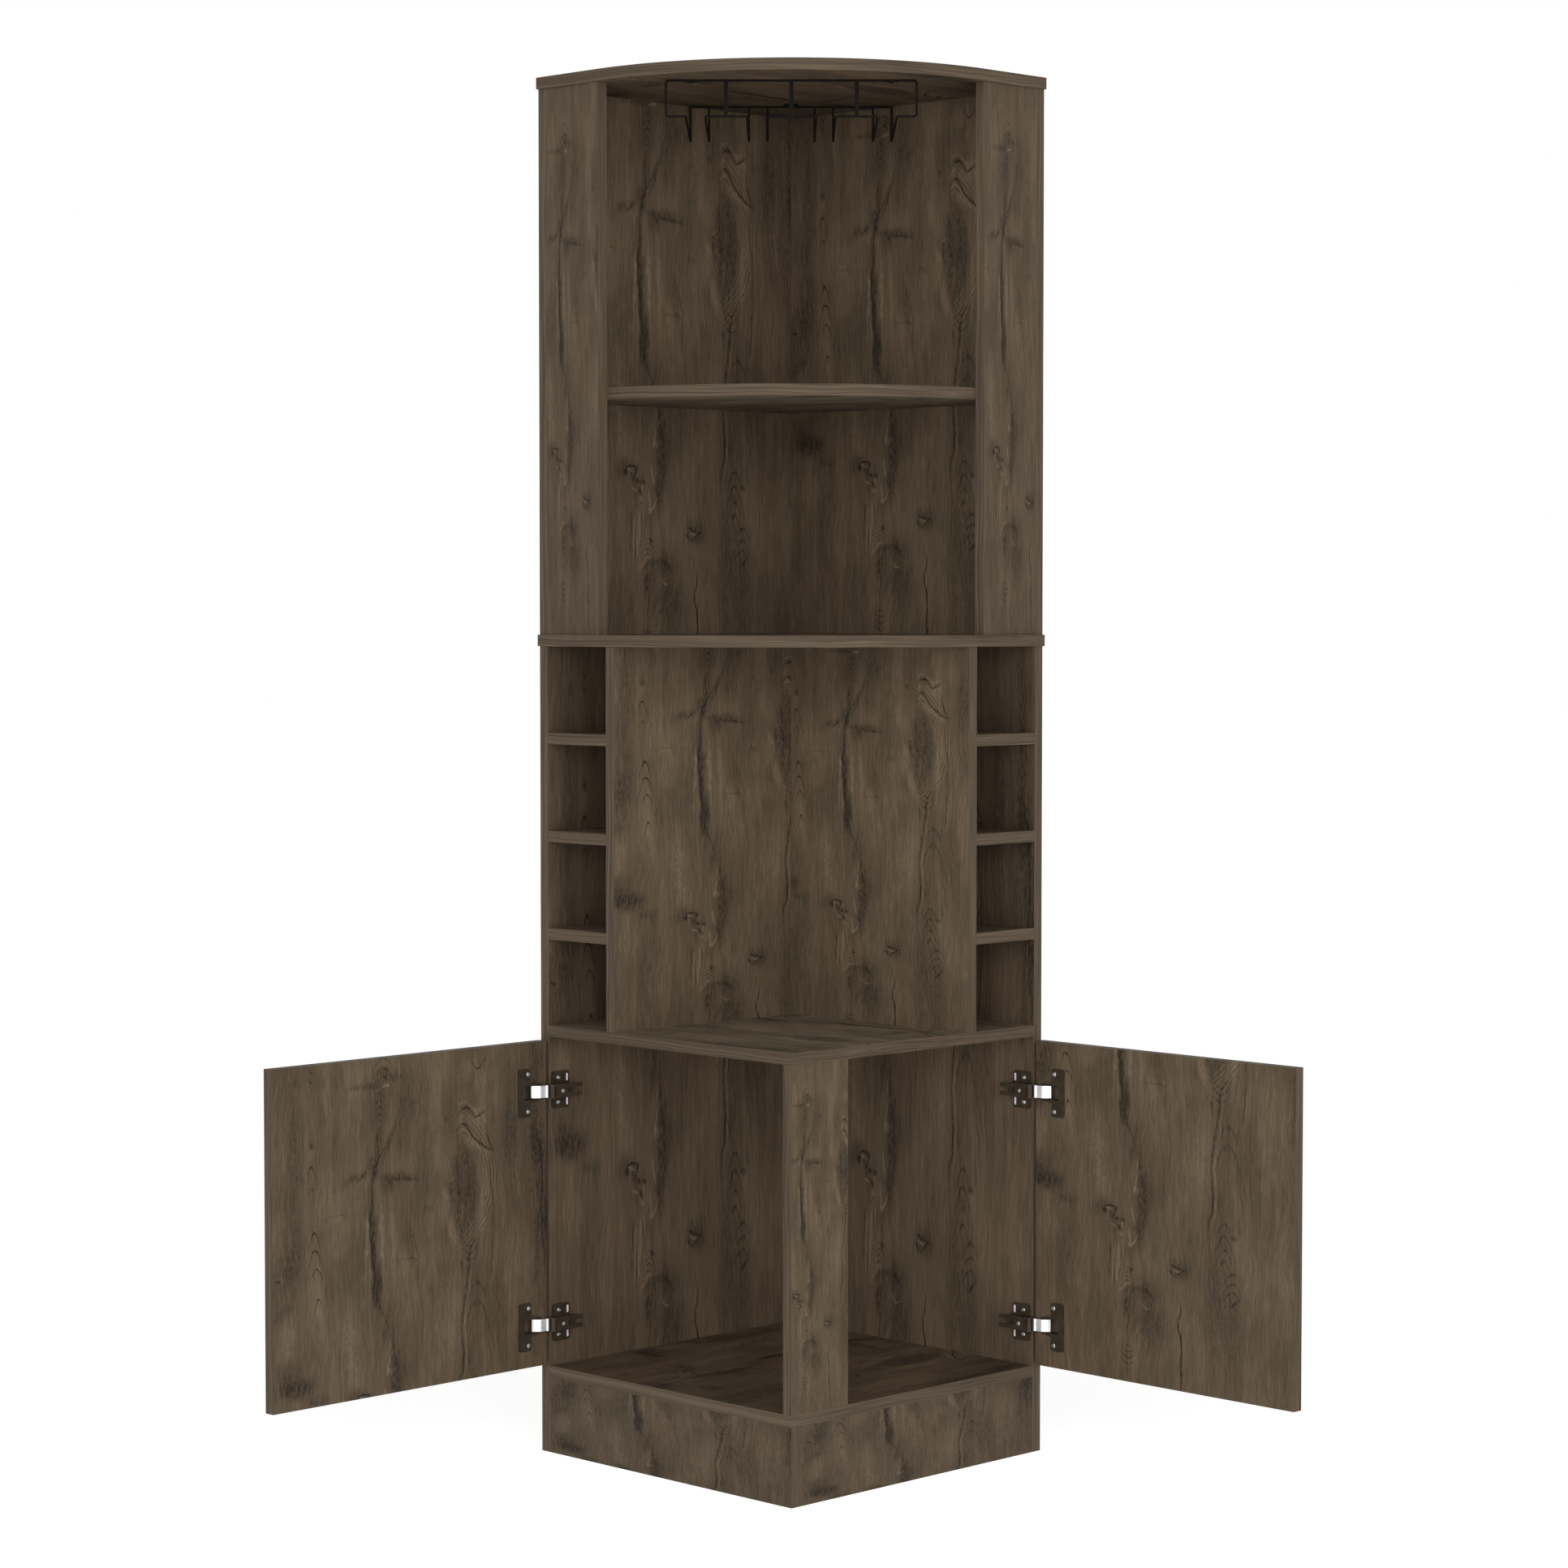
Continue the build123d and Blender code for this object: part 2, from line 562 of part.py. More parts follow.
def rack_tab(l, d_low, d_high, hole_d):
    """A flat tab against the top panel's underside, with a screw hole."""
    half = TAB_WIDTH / 2
    low = TOP_UNDERSIDE - TAB_THICKNESS
    tab = block((l - half, -d_high, low), (l + half, -d_low, TOP_UNDERSIDE))
    return rounded(tab, Axis.Z, 3.0) - rod(rack_point(l, hole_d, low - 1.0), Z, 5.0, 1.8)


def rack_levels():
    """Centre heights of the rack's upper and lower wires."""
    high = TOP_UNDERSIDE - WIRE_RADIUS
    return high, high - RACK_DROP


def rack_rails():
    """Where the wires that run front to back lie along L: two at each slot."""
    half = SLOT_PITCH / 2
    right = [centre + side * half for centre in SLOT_CENTRES for side in (-1, 1)]
    return [-l for l in reversed(right)] + right


def rack_outer_wire():
    """The wire that frames the rack's front and turns back into the two outermost rails."""
    high, low = rack_levels()
    outer = rack_rails()[0]
    edge = RACK_HALF_WIDTH
    outline = [(outer, RACK_BACK, high), (outer, RACK_BACK, low), (outer, RACK_FRONT, low)]
    outline += [(-edge, RACK_FRONT, low), (-edge, RACK_FRONT, high)]
    outline += [(-l, d, z) for l, d, z in reversed(outline)]
    return bent_wire([rack_point(*p) for p in outline])


def rack_loops():
    """The three inner wires, each bent into two rails, a front run and two risers at the back."""
    high, low = rack_levels()
    rails = rack_rails()[1:-1]
    loops = []
    for left, right in zip(rails[::2], rails[1::2]):
        loop = [(left, RACK_BACK, high), (left, RACK_BACK, low), (left, RACK_FRONT, low)]
        loop += [(right, d, z) for _, d, z in reversed(loop)]
        loops.append(bent_wire([rack_point(*p) for p in loop]))
    return loops


def rack_back_bar():
    """The straight wire that joins the risers at the back."""
    reach = rack_rails()[-1] + WIRE_RADIUS
    return rod(rack_point(-reach, RACK_BACK, rack_levels()[0]), X, 2 * reach, WIRE_RADIUS)


def rack_straps():
    """The flat straps that hang the front runs from the frame's upper wire."""
    high, low = rack_levels()
    front = RACK_FRONT + WIRE_RADIUS
    bottom, top = low - WIRE_RADIUS, TOP_UNDERSIDE
    return [block((l - 2.6, -front - 0.4, bottom), (l + 2.6, -front + 1.0, top)) for l in HANGERS]


def rack_tabs():
    """The flat screw tabs: two on the frame's upper wire, one on the back bar."""
    near = RACK_FRONT + WIRE_RADIUS - FRONT_TAB_DEPTH
    tabs = [rack_tab(side * FRONT_TAB_CENTRE, near, RACK_FRONT, near + 6.0) for side in (-1, 1)]
    back = RACK_BACK + BACK_TAB_DEPTH
    return tabs + [rack_tab(0.0, RACK_BACK, back, back - 6.0)]


def rack():
    """The wire rack by name, each piece cut where it is welded to the piece before it."""
    loops = rack_loops()
    bar = rack_back_bar()
    outer = rack_outer_wire() - bar
    loops = [loop - bar for loop in loops]
    straps = [strap - outer for strap in rack_straps()]
    straps = [strap - loop for strap, loop in zip(straps, loops)]
    tabs = [tab - outer - bar for tab in rack_tabs()]
    return {
        "rack_outer_wire": outer,
        "rack_back_bar": bar,
        "rack_loops": group(loops),
        "rack_straps": group(straps),
        "rack_tabs": group(tabs),
    }


def rack_screw_places():
    """Where the rack's screws enter the top panel, in the cabinet's frame."""
    front = RACK_FRONT + WIRE_RADIUS - FRONT_TAB_DEPTH + 6.0
    back = RACK_BACK + BACK_TAB_DEPTH - 6.0
    spots = [(-FRONT_TAB_CENTRE, front), (FRONT_TAB_CENTRE, front), (0.0, back)]
    return [rack_point(l, d, TOP_UNDERSIDE).rotate(Axis.Z, 45) for l, d in spots]


def rack_screw(place):
    """A black pan-head screw that holds a tab to the top panel."""
    seat = place - Z * TAB_THICKNESS
    screw = rod(seat, -Z, 1.6, 3.2)
    screw = fillet(screw.edges().sort_by(Axis.Z)[0], 1.0)
    return screw + rod(seat, Z, TAB_THICKNESS + 10.0, 1.7)


def into_corner(shape):
    """Turns the rack's own frame onto the cabinet's diagonal."""
    return Rot(0, 0, 45) * shape


# Assembly


def bores():
    """Every hole that the fasteners need in the boards."""
    screws = on_left_wall(left_screw_places() + corner_screw_places()) + on_right_wall(left_screw_places())
    holes = [wall_screw_hole(p, d) for p, d in screws + inner_screw_places()]
    dowels = lower_dowel_places() + shelf_dowel_places() + upper_dowel_places()
    holes += [dowel_hole(p, d) for p, d in dowels]
    holes += [cam_hole(*place) for place in cam_places()]
    plates = [small_screw_hole(plate_screw_place(*s)) for s in hinge_spots()]
    holes += plates + [mirrored(hole) for hole in plates]
    return holes + [rod(p, Z, 10.2, 1.7 + FIT) for p in rack_screw_places()]


def fasteners():
    """The groups of identical fasteners, by name."""
    left = on_left_wall(left_screw_places() + corner_screw_places())
    return {
        "left_wall_screws": group([wall_screw(p, d) for p, d in left]),
        "right_wall_screws": group([wall_screw(p, d) for p, d in on_right_wall(left_screw_places())]),
        "inner_screws": group([wall_screw(p, d) for p, d in inner_screw_places()]),
        "lower_dowels": group([dowel(p, d) for p, d in lower_dowel_places()]),
        "shelf_dowels": group([dowel(p, d) for p, d in shelf_dowel_places()]),
        "upper_dowels": group([dowel(p, d) for p, d in upper_dowel_places()]),
        "cam_discs": group([cam_disc(*place) for place in cam_places()]),
        "cam_bolts": group([cam_bolt(*place) for place in cam_places()]),
    }


def drilled(boards):
    """The boards with the fasteners' holes cut in them."""
    holes = bores()
    result = {}
    for name, board in boards.items():
        for hole in holes:
            if meets(board, hole):
                board -= hole
        result[name] = board
    return result


def nodes():
    """Every sub-part of the cabinet, by name."""
    parts = drilled(carcass())
    parts["left_door"] = door(LEFT_DOOR_WIDTH)
    parts["right_door"] = mirrored(door(RIGHT_DOOR_WIDTH))
    for name, piece in left_hinges().items():
        parts[f"left_{name}"] = piece
        parts[f"right_{name}"] = mirrored(piece)
    for name, piece in rack().items():
        parts[name] = into_corner(piece)
    parts["rack_screws"] = group([rack_screw(p) for p in rack_screw_places()])
    parts.update(hinge_fasteners())
    parts.update(fasteners())
    return parts


os.makedirs("parts", exist_ok=True)
for name, shape in nodes().items():
    export_step(shape, f"parts/{name}.step")
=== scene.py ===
import math

import bmesh
import bpy
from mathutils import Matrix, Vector


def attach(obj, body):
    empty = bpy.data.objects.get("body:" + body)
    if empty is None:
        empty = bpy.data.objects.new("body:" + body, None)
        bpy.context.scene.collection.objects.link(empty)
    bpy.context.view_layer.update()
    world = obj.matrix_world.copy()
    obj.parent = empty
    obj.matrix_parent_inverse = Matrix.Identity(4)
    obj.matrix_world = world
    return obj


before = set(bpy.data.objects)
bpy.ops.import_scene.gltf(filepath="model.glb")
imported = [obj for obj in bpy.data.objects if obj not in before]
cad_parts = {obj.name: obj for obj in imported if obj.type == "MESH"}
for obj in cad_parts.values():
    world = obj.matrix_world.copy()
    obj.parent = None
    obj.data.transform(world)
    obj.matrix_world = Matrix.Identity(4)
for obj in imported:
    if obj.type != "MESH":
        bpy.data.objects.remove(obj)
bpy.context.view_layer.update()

# Camera, in metres and degrees: it stands on the cabinet's diagonal and looks slightly down
CAMERA_PLACE = Vector((3.78409, -3.79567, 1.114746))
CAMERA_AZIMUTH = 135.014
CAMERA_PITCH = -2.656
LENS_MM = 88.205
SENSOR_MM = 36.0

# Studio
FLOOR_SIZE = 60.0
EVEN_LIGHT = 0.047
BROAD_LIGHT = 2.15
BROAD_LIGHT_FOCUS = 6.5
BROAD_LIGHT_WAYS = [(0.986, -0.150, 0.07), (0.150, -0.986, 0.07)]
FRONT_LIGHT_WATTS = 33.0
FRONT_LIGHT_SIZE = (2.6, 2.2)
FRONT_LIGHT_PLACE = Vector((2.7, -2.35, 1.05))
FRONT_LIGHT_AIM = Vector((0.3, -0.3, 0.75))
FLOOR_GREY = (0.78, 0.78, 0.78, 1.0)
FLOOR_GLOW = 0.86
FLOOR_BOUNCE = 0.42

# Oak print colours, dark to light, as linear values
OAK_DEEP = (0.030, 0.0225, 0.0155, 1.0)
OAK_DARK = (0.062, 0.0465, 0.0315, 1.0)
OAK_MIDDLE = (0.104, 0.0765, 0.0505, 1.0)
OAK_LIGHT = (0.158, 0.118, 0.080, 1.0)
OAK_PALE = (0.215, 0.165, 0.112, 1.0)
OAK_OLIVE = (1.0, 1.0, 0.955, 1.0)
OAK_ROSE = (1.045, 1.0, 0.945, 1.0)
OAK_STOPS = [(0.0, OAK_DEEP), (0.25, OAK_DARK), (0.5, OAK_MIDDLE), (0.74, OAK_LIGHT), (1.0, OAK_PALE)]

# Sizes of the print's patterns across and along the grain, in millimetres
SWAY_SIZE = (60, 150)
RIPPLE_SIZE = (11, 20)
CLOUD_SIZE = (55, 95)
BAND_SIZE = (19, 260)
STREAK_SIZE = (5, 110)
FIBRE_SIZE = (1.7, 24)
CRUMB_SIZE = (3, 7)
PORE_SIZE = (1.5, 22)

# How much each pattern adds to the print's tone, and the level they add to
TONE_CLOUD = 0.36
TONE_BAND = 0.26
TONE_STREAK = 0.29
TONE_FIBRE = 0.40
TONE_LEVEL = 0.53 - (TONE_CLOUD + TONE_BAND + TONE_STREAK + TONE_FIBRE) / 2

# The same for the two sizes of stripe in the band on the edges. The stripes' shapes are how many
# there are per metre through the board, how far they wander, and how many per metre along it.
EDGE_BROAD = 0.85
EDGE_FINE = 0.55
EDGE_LEVEL = 0.47 - (EDGE_BROAD + EDGE_FINE) / 2
EDGE_BROAD_STRIPES = (420.0, 3.0, 5.0)
EDGE_FINE_STRIPES = (1400.0, 4.0, 22.0)
EDGE_WANDER_SCALE = 9.0

# How strongly the features are printed where the print's fine grain is dark, and where it is light
FEATURE_STRONG = 1.35
FEATURE_WEAK = 0.55

# How far the broad sway and the fine ripple of the print move things, in millimetres. The crisp
# features and the grain move by the first ripple, the grain by the sway too, soft spots by both.
RIPPLE_S, RIPPLE_T = 3.6, -5.0
GRAIN_SWAY = 22.0
SOFT_SWAY_S, SOFT_SWAY_T = 14.0, -20.0
SOFT_RIPPLE_S, SOFT_RIPPLE_T = 5.0, 9.0

# How much the drawn spots and marks are widened, because they fade out before their rims
SPOT_GROWTH = 1.35
MARK_GROWTH = 1.2

# The laminate's gloss, and its pores: their strength and depth in metres
LAMINATE_GLOSS = 0.12
PORE_STRENGTH = 0.10
PORE_DEPTH = 0.0004

# The depth of the texture on the metals, in metres
METAL_TEXTURE = 0.0002

MM = 0.001
BOARD = 15.0


# Node helpers


class Wires:
    """Places shader nodes in one tree and joins them."""

    def __init__(self, tree):
        self.tree = tree

    def node(self, kind, **settings):
        made = self.tree.nodes.new(kind)
        for name, value in settings.items():
            setattr(made, name, value)
        return made

    def feed(self, socket, value):
        if isinstance(value, bpy.types.NodeSocket):
            self.tree.links.new(value, socket)
        elif value is not None:
            socket.default_value = value

    def maths(self, operation, *values, clamp=False):
        made = self.node("ShaderNodeMath", operation=operation, use_clamp=clamp)
        for socket, value in zip(made.inputs, values):
            self.feed(socket, value)
        return made.outputs[0]

    def vector(self, operation, *values):
        made = self.node("ShaderNodeVectorMath", operation=operation)
        for socket, value in zip(made.inputs, values):
            self.feed(socket, value)
        return made.outputs[1 if operation in ("LENGTH", "DOT_PRODUCT") else 0]

    def split(self, vector):
        made = self.node("ShaderNodeSeparateXYZ")
        self.feed(made.inputs[0], vector)
        return made.outputs[0], made.outputs[1], made.outputs[2]

    def join(self, x=0.0, y=0.0, z=0.0):
        made = self.node("ShaderNodeCombineXYZ")
        for socket, value in zip(made.inputs, (x, y, z)):
            self.feed(socket, value)
        return made.outputs[0]

    def stretched(self, vector, scale, shift=(0.0, 0.0, 0.0)):
        """The vector times a scale for each axis, plus a shift."""
        made = self.node("ShaderNodeVectorMath", operation="MULTIPLY_ADD")
        for socket, value in zip(made.inputs, (vector, scale, shift)):
            self.feed(socket, value)
        return made.outputs[0]

    def noise(self, vector, detail=2.0, roughness=0.5, scale=1.0, dimensions="2D"):
        made = self.node("ShaderNodeTexNoise", noise_dimensions=dimensions)
        given = {"Vector": vector, "Scale": scale, "Detail": detail, "Roughness": roughness}
        for name, value in given.items():
            self.feed(made.inputs[name], value)
        return made.outputs[0]

    def solid_noise(self, vector, scale=1.0, detail=2.0, roughness=0.5):
        return self.noise(vector, detail, roughness, scale, "3D")

    def pattern(self, vector, size, shift=(0.0, 0.0), detail=1.0, roughness=0.5):
        """Noise of a given size along the sheet's S and T, begun at its own place."""
        place = self.stretched(vector, (1 / size[0], 1 / size[1], 1.0), (*shift, 0.0))
        return self.noise(place, detail, roughness)

    def span(self, value, low, high, out_low=0.0, out_high=1.0, smooth=True):
        """The value carried from one span to another, held at its ends."""
        made = self.node("ShaderNodeMapRange", interpolation_type="SMOOTHSTEP" if smooth else "LINEAR")
        names = ("Value", "From Min", "From Max", "To Min", "To Max")
        for name, entry in zip(names, (value, low, high, out_low, out_high)):
            self.feed(made.inputs[name], entry)
        return made.outputs[0]

    def mix(self, share, first, second, blend="MIX"):
        made = self.node("ShaderNodeMix", data_type="RGBA", blend_type=blend)
        for index, value in ((0, share), (6, first), (7, second)):
            self.feed(made.inputs[index], value)
        return made.outputs[2]

    def ramp(self, value, stops):
        """A colour ramp through (place, colour) stops."""
        made = self.node("ShaderNodeValToRGB")
        band = made.color_ramp
        while len(band.elements) < len(stops):
            band.elements.new(1.0)
        for element, (place, colour) in zip(band.elements, stops):
            element.position = place
            element.color = colour
        self.feed(made.inputs[0], value)
        return made.outputs[0]

    def curves(self, vector, shares):
        """Each axis of the vector carried along its own smooth curve, given as points from 0 to 1."""
        made = self.node("ShaderNodeVectorCurve")
        for line, points in zip(made.mapping.curves, shares):
            while len(line.points) < len(points):
                line.points.new(0.5, 0.5)
            for point, place in zip(line.points, points):
                point.location = place
        made.mapping.update()
        self.feed(made.inputs["Vector"], vector)
        return made.outputs[0]

    def bump(self, height, strength, distance):
        made = self.node("ShaderNodeBump")
        self.feed(made.inputs["Strength"], strength)
        self.feed(made.inputs["Distance"], distance)
        self.feed(made.inputs["Height"], height)
        return made.outputs[0]

    def place(self, group, **values):
        """A group node with its inputs fed by name; returns its outputs."""
        made = self.node("ShaderNodeGroup", node_tree=group)
        for name, value in values.items():
            self.feed(made.inputs[name.replace("_", " ").title()], value)
        return made.outputs


def new_group(name, inputs, outputs):
    """A shader node group with named sockets; returns the group, its wires and both ends."""
    tree = bpy.data.node_groups.new(name, "ShaderNodeTree")
    for label, kind in inputs:
        tree.interface.new_socket(name=label, in_out="INPUT", socket_type="NodeSocket" + kind)
    for label, kind in outputs:
        tree.interface.new_socket(name=label, in_out="OUTPUT", socket_type="NodeSocket" + kind)
    wires = Wires(tree)
    return tree, wires, wires.node("NodeGroupInput").outputs, wires.node("NodeGroupOutput").inputs


def new_material(name):
    """An empty material with a Principled BSDF; returns the material, its wires and the shader."""
    material = bpy.data.materials.new(name)
    material.use_nodes = True
    tree = material.node_tree
    tree.nodes.clear()
    wires = Wires(tree)
    shader = wires.node("ShaderNodeBsdfPrincipled")
    output = wires.node("ShaderNodeOutputMaterial")
    tree.links.new(shader.outputs[0], output.inputs[0])
    return material, wires, shader


# Oak print. The sheet's S runs across the grain from the board's left edge and T runs up along
# it, both in millimetres of the print, with T = 0 where the long crack forks. Every board
# carries the same sheet, stretched to its own size. Features are worked out three at a time,
# one on each axis of a vector.

# Soft spots: S, T, half width, half height, tilt in degrees, darkness (light below 0)
SOFT_SPOTS = [
    (35, -272, 32, 16, -3, 0.38),
    (22, -250, 26, 18, 0, 0.12),
    (20, -130, 22, 46, -8, 0.16),
    (16, -175, 28, 9, 12, 0.12),
    (36, -20, 15, 160, 0, 0.13),
    (20, -215, 14, 36, 0, -0.22),
    (118, -215, 18, 50, 4, -0.22),
    (126, -262, 12, 26, 8, -0.16),
    (80, -35, 14, 90, 0, -0.08),
    (66, -292, 18, 8, 0, 0.16),
    (148, 95, 34, 5, 8, 0.22),
    (182, 108, 20, 8, -10, 0.26),
    (168, 70, 16, 44, 0, 0.22),
    (214, 72, 30, 68, 0, 0.16),
    (186, 20, 4.5, 27, -28, 0.30),
    (166, 12, 5.5, 28, -4, 0.34),
    (158, -10, 12, 16, 0, 0.30),
    (132, -18, 24, 6, 26, 0.20),
    (196, -26, 36, 6, -5, 0.28),
    (184, -34, 16, 9, 0, 0.20),
    (160, -100, 5.5, 40, -2, 0.26),
    (167, -158, 8, 34, -12, 0.30),
    (182, -215, 6, 34, -14, 0.20),
    (149, -95, 3.6, 64, -2, -0.32),
    (173, -105, 3.4, 72, 3, -0.30),
    (189, -90, 2.8, 62, 4, -0.17),
    (134, -60, 6, 60, 0, -0.10),
    (152, -15, 5, 14, -24, -0.20),
    (218, -110, 9, 34, 0, 0.16),
    (229, -140, 4.5, 36, 2, 0.22),
    (210, -140, 6, 26, 0, -0.12),
    (248, 40, 7, 44, 0, -0.14),
    (252, -74, 9, 6, 0, 0.14),
    (262, 60, 14, 60, 0, -0.12),
    (268, -10, 12, 30, 30, -0.14),
    (277, -58, 6, 17, 22, -0.26),
    (288, -104, 8, 40, 22, -0.20),
    (340, -86, 9, 46, -10, -0.22),
    (322, 4, 17, 8, -36, -0.22),
    (331, 34, 12, 18, -46, -0.20),
    (304, 36, 10, 10, 0, -0.16),
    (318, 100, 24, 26, 0, -0.12),
    (386, 10, 12, 90, 0, 0.14),
    (434, -8, 14, 40, 14, 0.20),
    (444, -105, 17, 110, 0, 0.30),
    (432, 70, 17, 100, 0, 0.24),
    (422, -50, 16, 60, 0, 0.10),
    (322, -190, 17, 80, 0, 0.16),
    (322, -330, 18, 80, 0, 0.14),
    (398, -160, 26, 90, 0, -0.10),
    (372, -230, 14, 60, 0, 0.10),
    (412, -60, 40, 280, 0, 0.08),
    (20, -60, 22, 280, 0, 0.06),
    (285, -225, 22, 100, 3, -0.12),
    (195, -290, 15, 52, -6, 0.30),
    (193, -235, 9, 40, -8, 0.14),
    (188, -330, 14, 20, 0, 0.18),
    (130, -300, 18, 13, 0, 0.18),
    (150, -312, 14, 22, 10, 0.18),
    (252, -364, 20, 15, -12, 0.28),
    (169, -412, 14, 23, 0, 0.24),
    (198, -396, 22, 16, -32, 0.24),
    (206, -446, 32, 44, 0, 0.20),
    (330, -430, 34, 80, 0, 0.14),
    (60, -380, 30, 70, 0, 0.08),
]

# Crisp marks: knots, ticks and light slits
MARKS = [
    (37, 109, 4.0, 4.5, 0, 0.20),
    (62, 27, 3.6, 5.5, 0, 0.18),
    (62, 27, 1.6, 2.6, 0, 0.16),
    (9, -136, 5.5, 1.5, -8, 0.22),
    (100, -64, 11, 1.6, 3, 0.14),
    (179, 93, 7, 1.6, 8, -0.34),
    (213, -30, 22, 1.6, -6, 0.20),
    (140, -20, 8, 1.7, 34, 0.26),
    (214, -132, 15, 1.3, -3, 0.15),
    (280, 40, 3.0, 3.6, 0, 0.24),
    (294, -46, 11, 1.4, -14, 0.18),
    (300, -56, 7, 1.2, 28, 0.16),
    (289, -38, 5, 1.3, 30, -0.22),
    (305, -155, 3.0, 11, 6, 0.22),
    (185, -240, 1.5, 13, -18, -0.32),
    (183, -262, 1.8, 14, -14, -0.36),
    (187, -272, 3.2, 5, 10, -0.26),
    (179, -304, 1.8, 11, 12, -0.28),
    (174, -332, 1.8, 11, 4, -0.26),
    (182, -335, 1.6, 9.5, -33, -0.32),
    (175, -343, 3.0, 3.4, 0, -0.28),
    (151, -365, 1.8, 26, 3, -0.24),
    (151, -299, 1.7, 5, -4, 0.40),
    (148, -306, 4.6, 1.6, 52, 0.38),
    (133, -302, 4.0, 3.0, 0, 0.30),
    (141, -300, 6, 1.6, -12, -0.30),
    (162, -312, 3.4, 2.8, 0, 0.32),
    (153, -311, 3.6, 2.0, 0, 0.26),
    (156, -321, 4.2, 2.0, -50, 0.44),
    (147, -320, 5.5, 1.5, -12, -0.30),
    (161, -318, 1.6, 5.5, -10, -0.30),
    (159, -330, 3.0, 2.6, 0, -0.26),
    (176, -375, 3.2, 2.8, 0, 0.34),
    (340, -316, 5.0, 3.4, 0, 0.24),
    (341, -398, 7.5, 1.9, 50, 0.36),
    (249, -363, 10, 1.6, -16, 0.30),
    (257, -369, 8, 1.6, 24, 0.34),
    (244, -372, 9, 1.4, -30, 0.24),
    (250, -367, 6, 1.4, -8, -0.34),
]

# Arches: S, T of the crown, half width, drop of the legs, spacing, count, darkness
ARCHES = [
    (61, 2, 9, 26, 13, 1, 0.52),
    (62, -26, 7, 15, 10, 1, 0.41),
    (65, -81, 10, 26, 16, 1, 0.80),
    (67, -104, 16, 46, 12, 1, 0.62),
    (69, -128, 10, 15, 11, 1, 0.52),
    (72, -166, 10, 34, 13, 1, 0.70),
    (62, 118, 9, -34, 13, 2, 0.32),
    (176, 128, 26, 40, 12, 3, 0.26),
    (170, 84, 12, 16, 9, 5, 0.22),
    (330, -176, 32, 90, 24, 2, 0.20),
    (318, -128, 20, -30, 9, 3, 0.38),
    (325, -299, 22, 60, 16, 4, 0.30),
    (338, -360, 24, 44, 12, 3, 0.26),
    (171, -372, 12, 10, 6, 4, 0.41),
    (172, -474, 14, -12, 8, 5, 0.35),
]

# Lines that wander up the sheet: (S, T) points, half width, darkness
UPRIGHT_LINES = [
    ([(168, 40), (162, 0), (158, -40), (155, -90), (160, -130),
      (165, -175), (179, -205), (190, -240), (198, -285), (190, -330)], 1.6, 0.18),
    ([(157, -30), (155, -92), (157, -112), (160, -132), (161, -155), (165, -180), (171, -200)], 7.5, 0.32),
    ([(186, 34), (180, 18), (170, 4), (164, -8), (160, -24)], 2.4, 0.30),
    ([(254, -402), (256, -420), (252, -434), (255, -446), (258, -458), (258, -500), (262, -560)], 2.0, 0.62),
    ([(171, -395), (170, -418), (172, -440), (170, -452), (173, -520)], 1.2, 0.30),
    ([(359, -8), (352, -30), (356, -62), (357, -92), (356, -132), (352, -178)], 1.8, 0.30),
    ([(345, 30), (350, 8), (354, 0), (360, -10)], 2.0, 0.34),
    ([(318, -122), (316, -150), (310, -190), (304, -235), (307, -270), (300, -310), (306, -350)], 2.3, 0.34),
    ([(436, 0), (442, -40), (441, -90), (444, -140), (449, -180)], 1.8, 0.26),
    ([(323, -122), (321, -150), (316, -190), (310, -235), (312, -270), (306, -310), (311, -350)], 2.0, -0.20),
    ([(148, -40), (149, -70), (152, -105), (154, -135), (157, -160)], 2.2, -0.26),
    ([(143, -342), (142, -365), (139, -392)], 1.4, 0.28),
    ([(152, -344), (150, -366), (147, -396)], 1.4, 0.30),
    ([(161, -342), (160, -366), (156, -392)], 1.4, 0.28),
    ([(147, -346), (146, -370), (144, -404)], 1.5, -0.22),
    ([(157, -344), (155, -368), (151, -402)], 1.5, -0.24),
    ([(166, -346), (165, -362), (163, -378)], 1.3, 0.22),
    ([(178, -346), (177, -360), (176, -376)], 1.3, 0.24),
]

# Lines that wander across the sheet
LEVEL_LINES = [
    ([(297, 34), (302, 48), (311, 53), (322, 45), (331, 39), (340, 43), (347, 47)], 2.2, 0.50),
    ([(298, 20), (304, 31), (313, 29), (322, 15), (334, 6), (346, -2), (360, -8)], 2.3, 0.54),
    ([(318, 120), (325, 108), (333, 101), (342, 108), (350, 124)], 1.8, 0.36),
    ([(290, 36), (298, 50), (307, 60), (322, 53), (332, 47), (345, 54)], 2.2, -0.22),
    ([(297, 12), (304, 24), (313, 22), (322, 8), (334, -1), (350, -9)], 2.2, -0.24),
    ([(132, -299), (138, -296), (145, -294.5), (152, -295.5)], 1.5, 0.50),
    ([(192, -412), (196, -418.5), (202, -422.5), (207, -421.5), (210, -415)], 1.7, -0.36),
    ([(157, -416), (164, -405), (172, -400), (182, -398), (196, -398), (206, -403), (217, -416)], 4.2, 0.14),
    ([(155, -410), (162, -400), (169, -394.5), (177, -393)], 1.8, -0.22),
]

# Bulges that push the grain aside: S, T, half width, half height, tilt, push in millimetres
BULGES = [
    (306, -52, 70, 120, 0, 24),
    (146, -310, 34, 50, 0, 9),
    (252, -366, 34, 44, 0, 10),
    (170, -412, 34, 60, 0, 11),
    (164, -6, 30, 40, 0, 6),
    (196, -300, 40, 80, 0, -9),
]

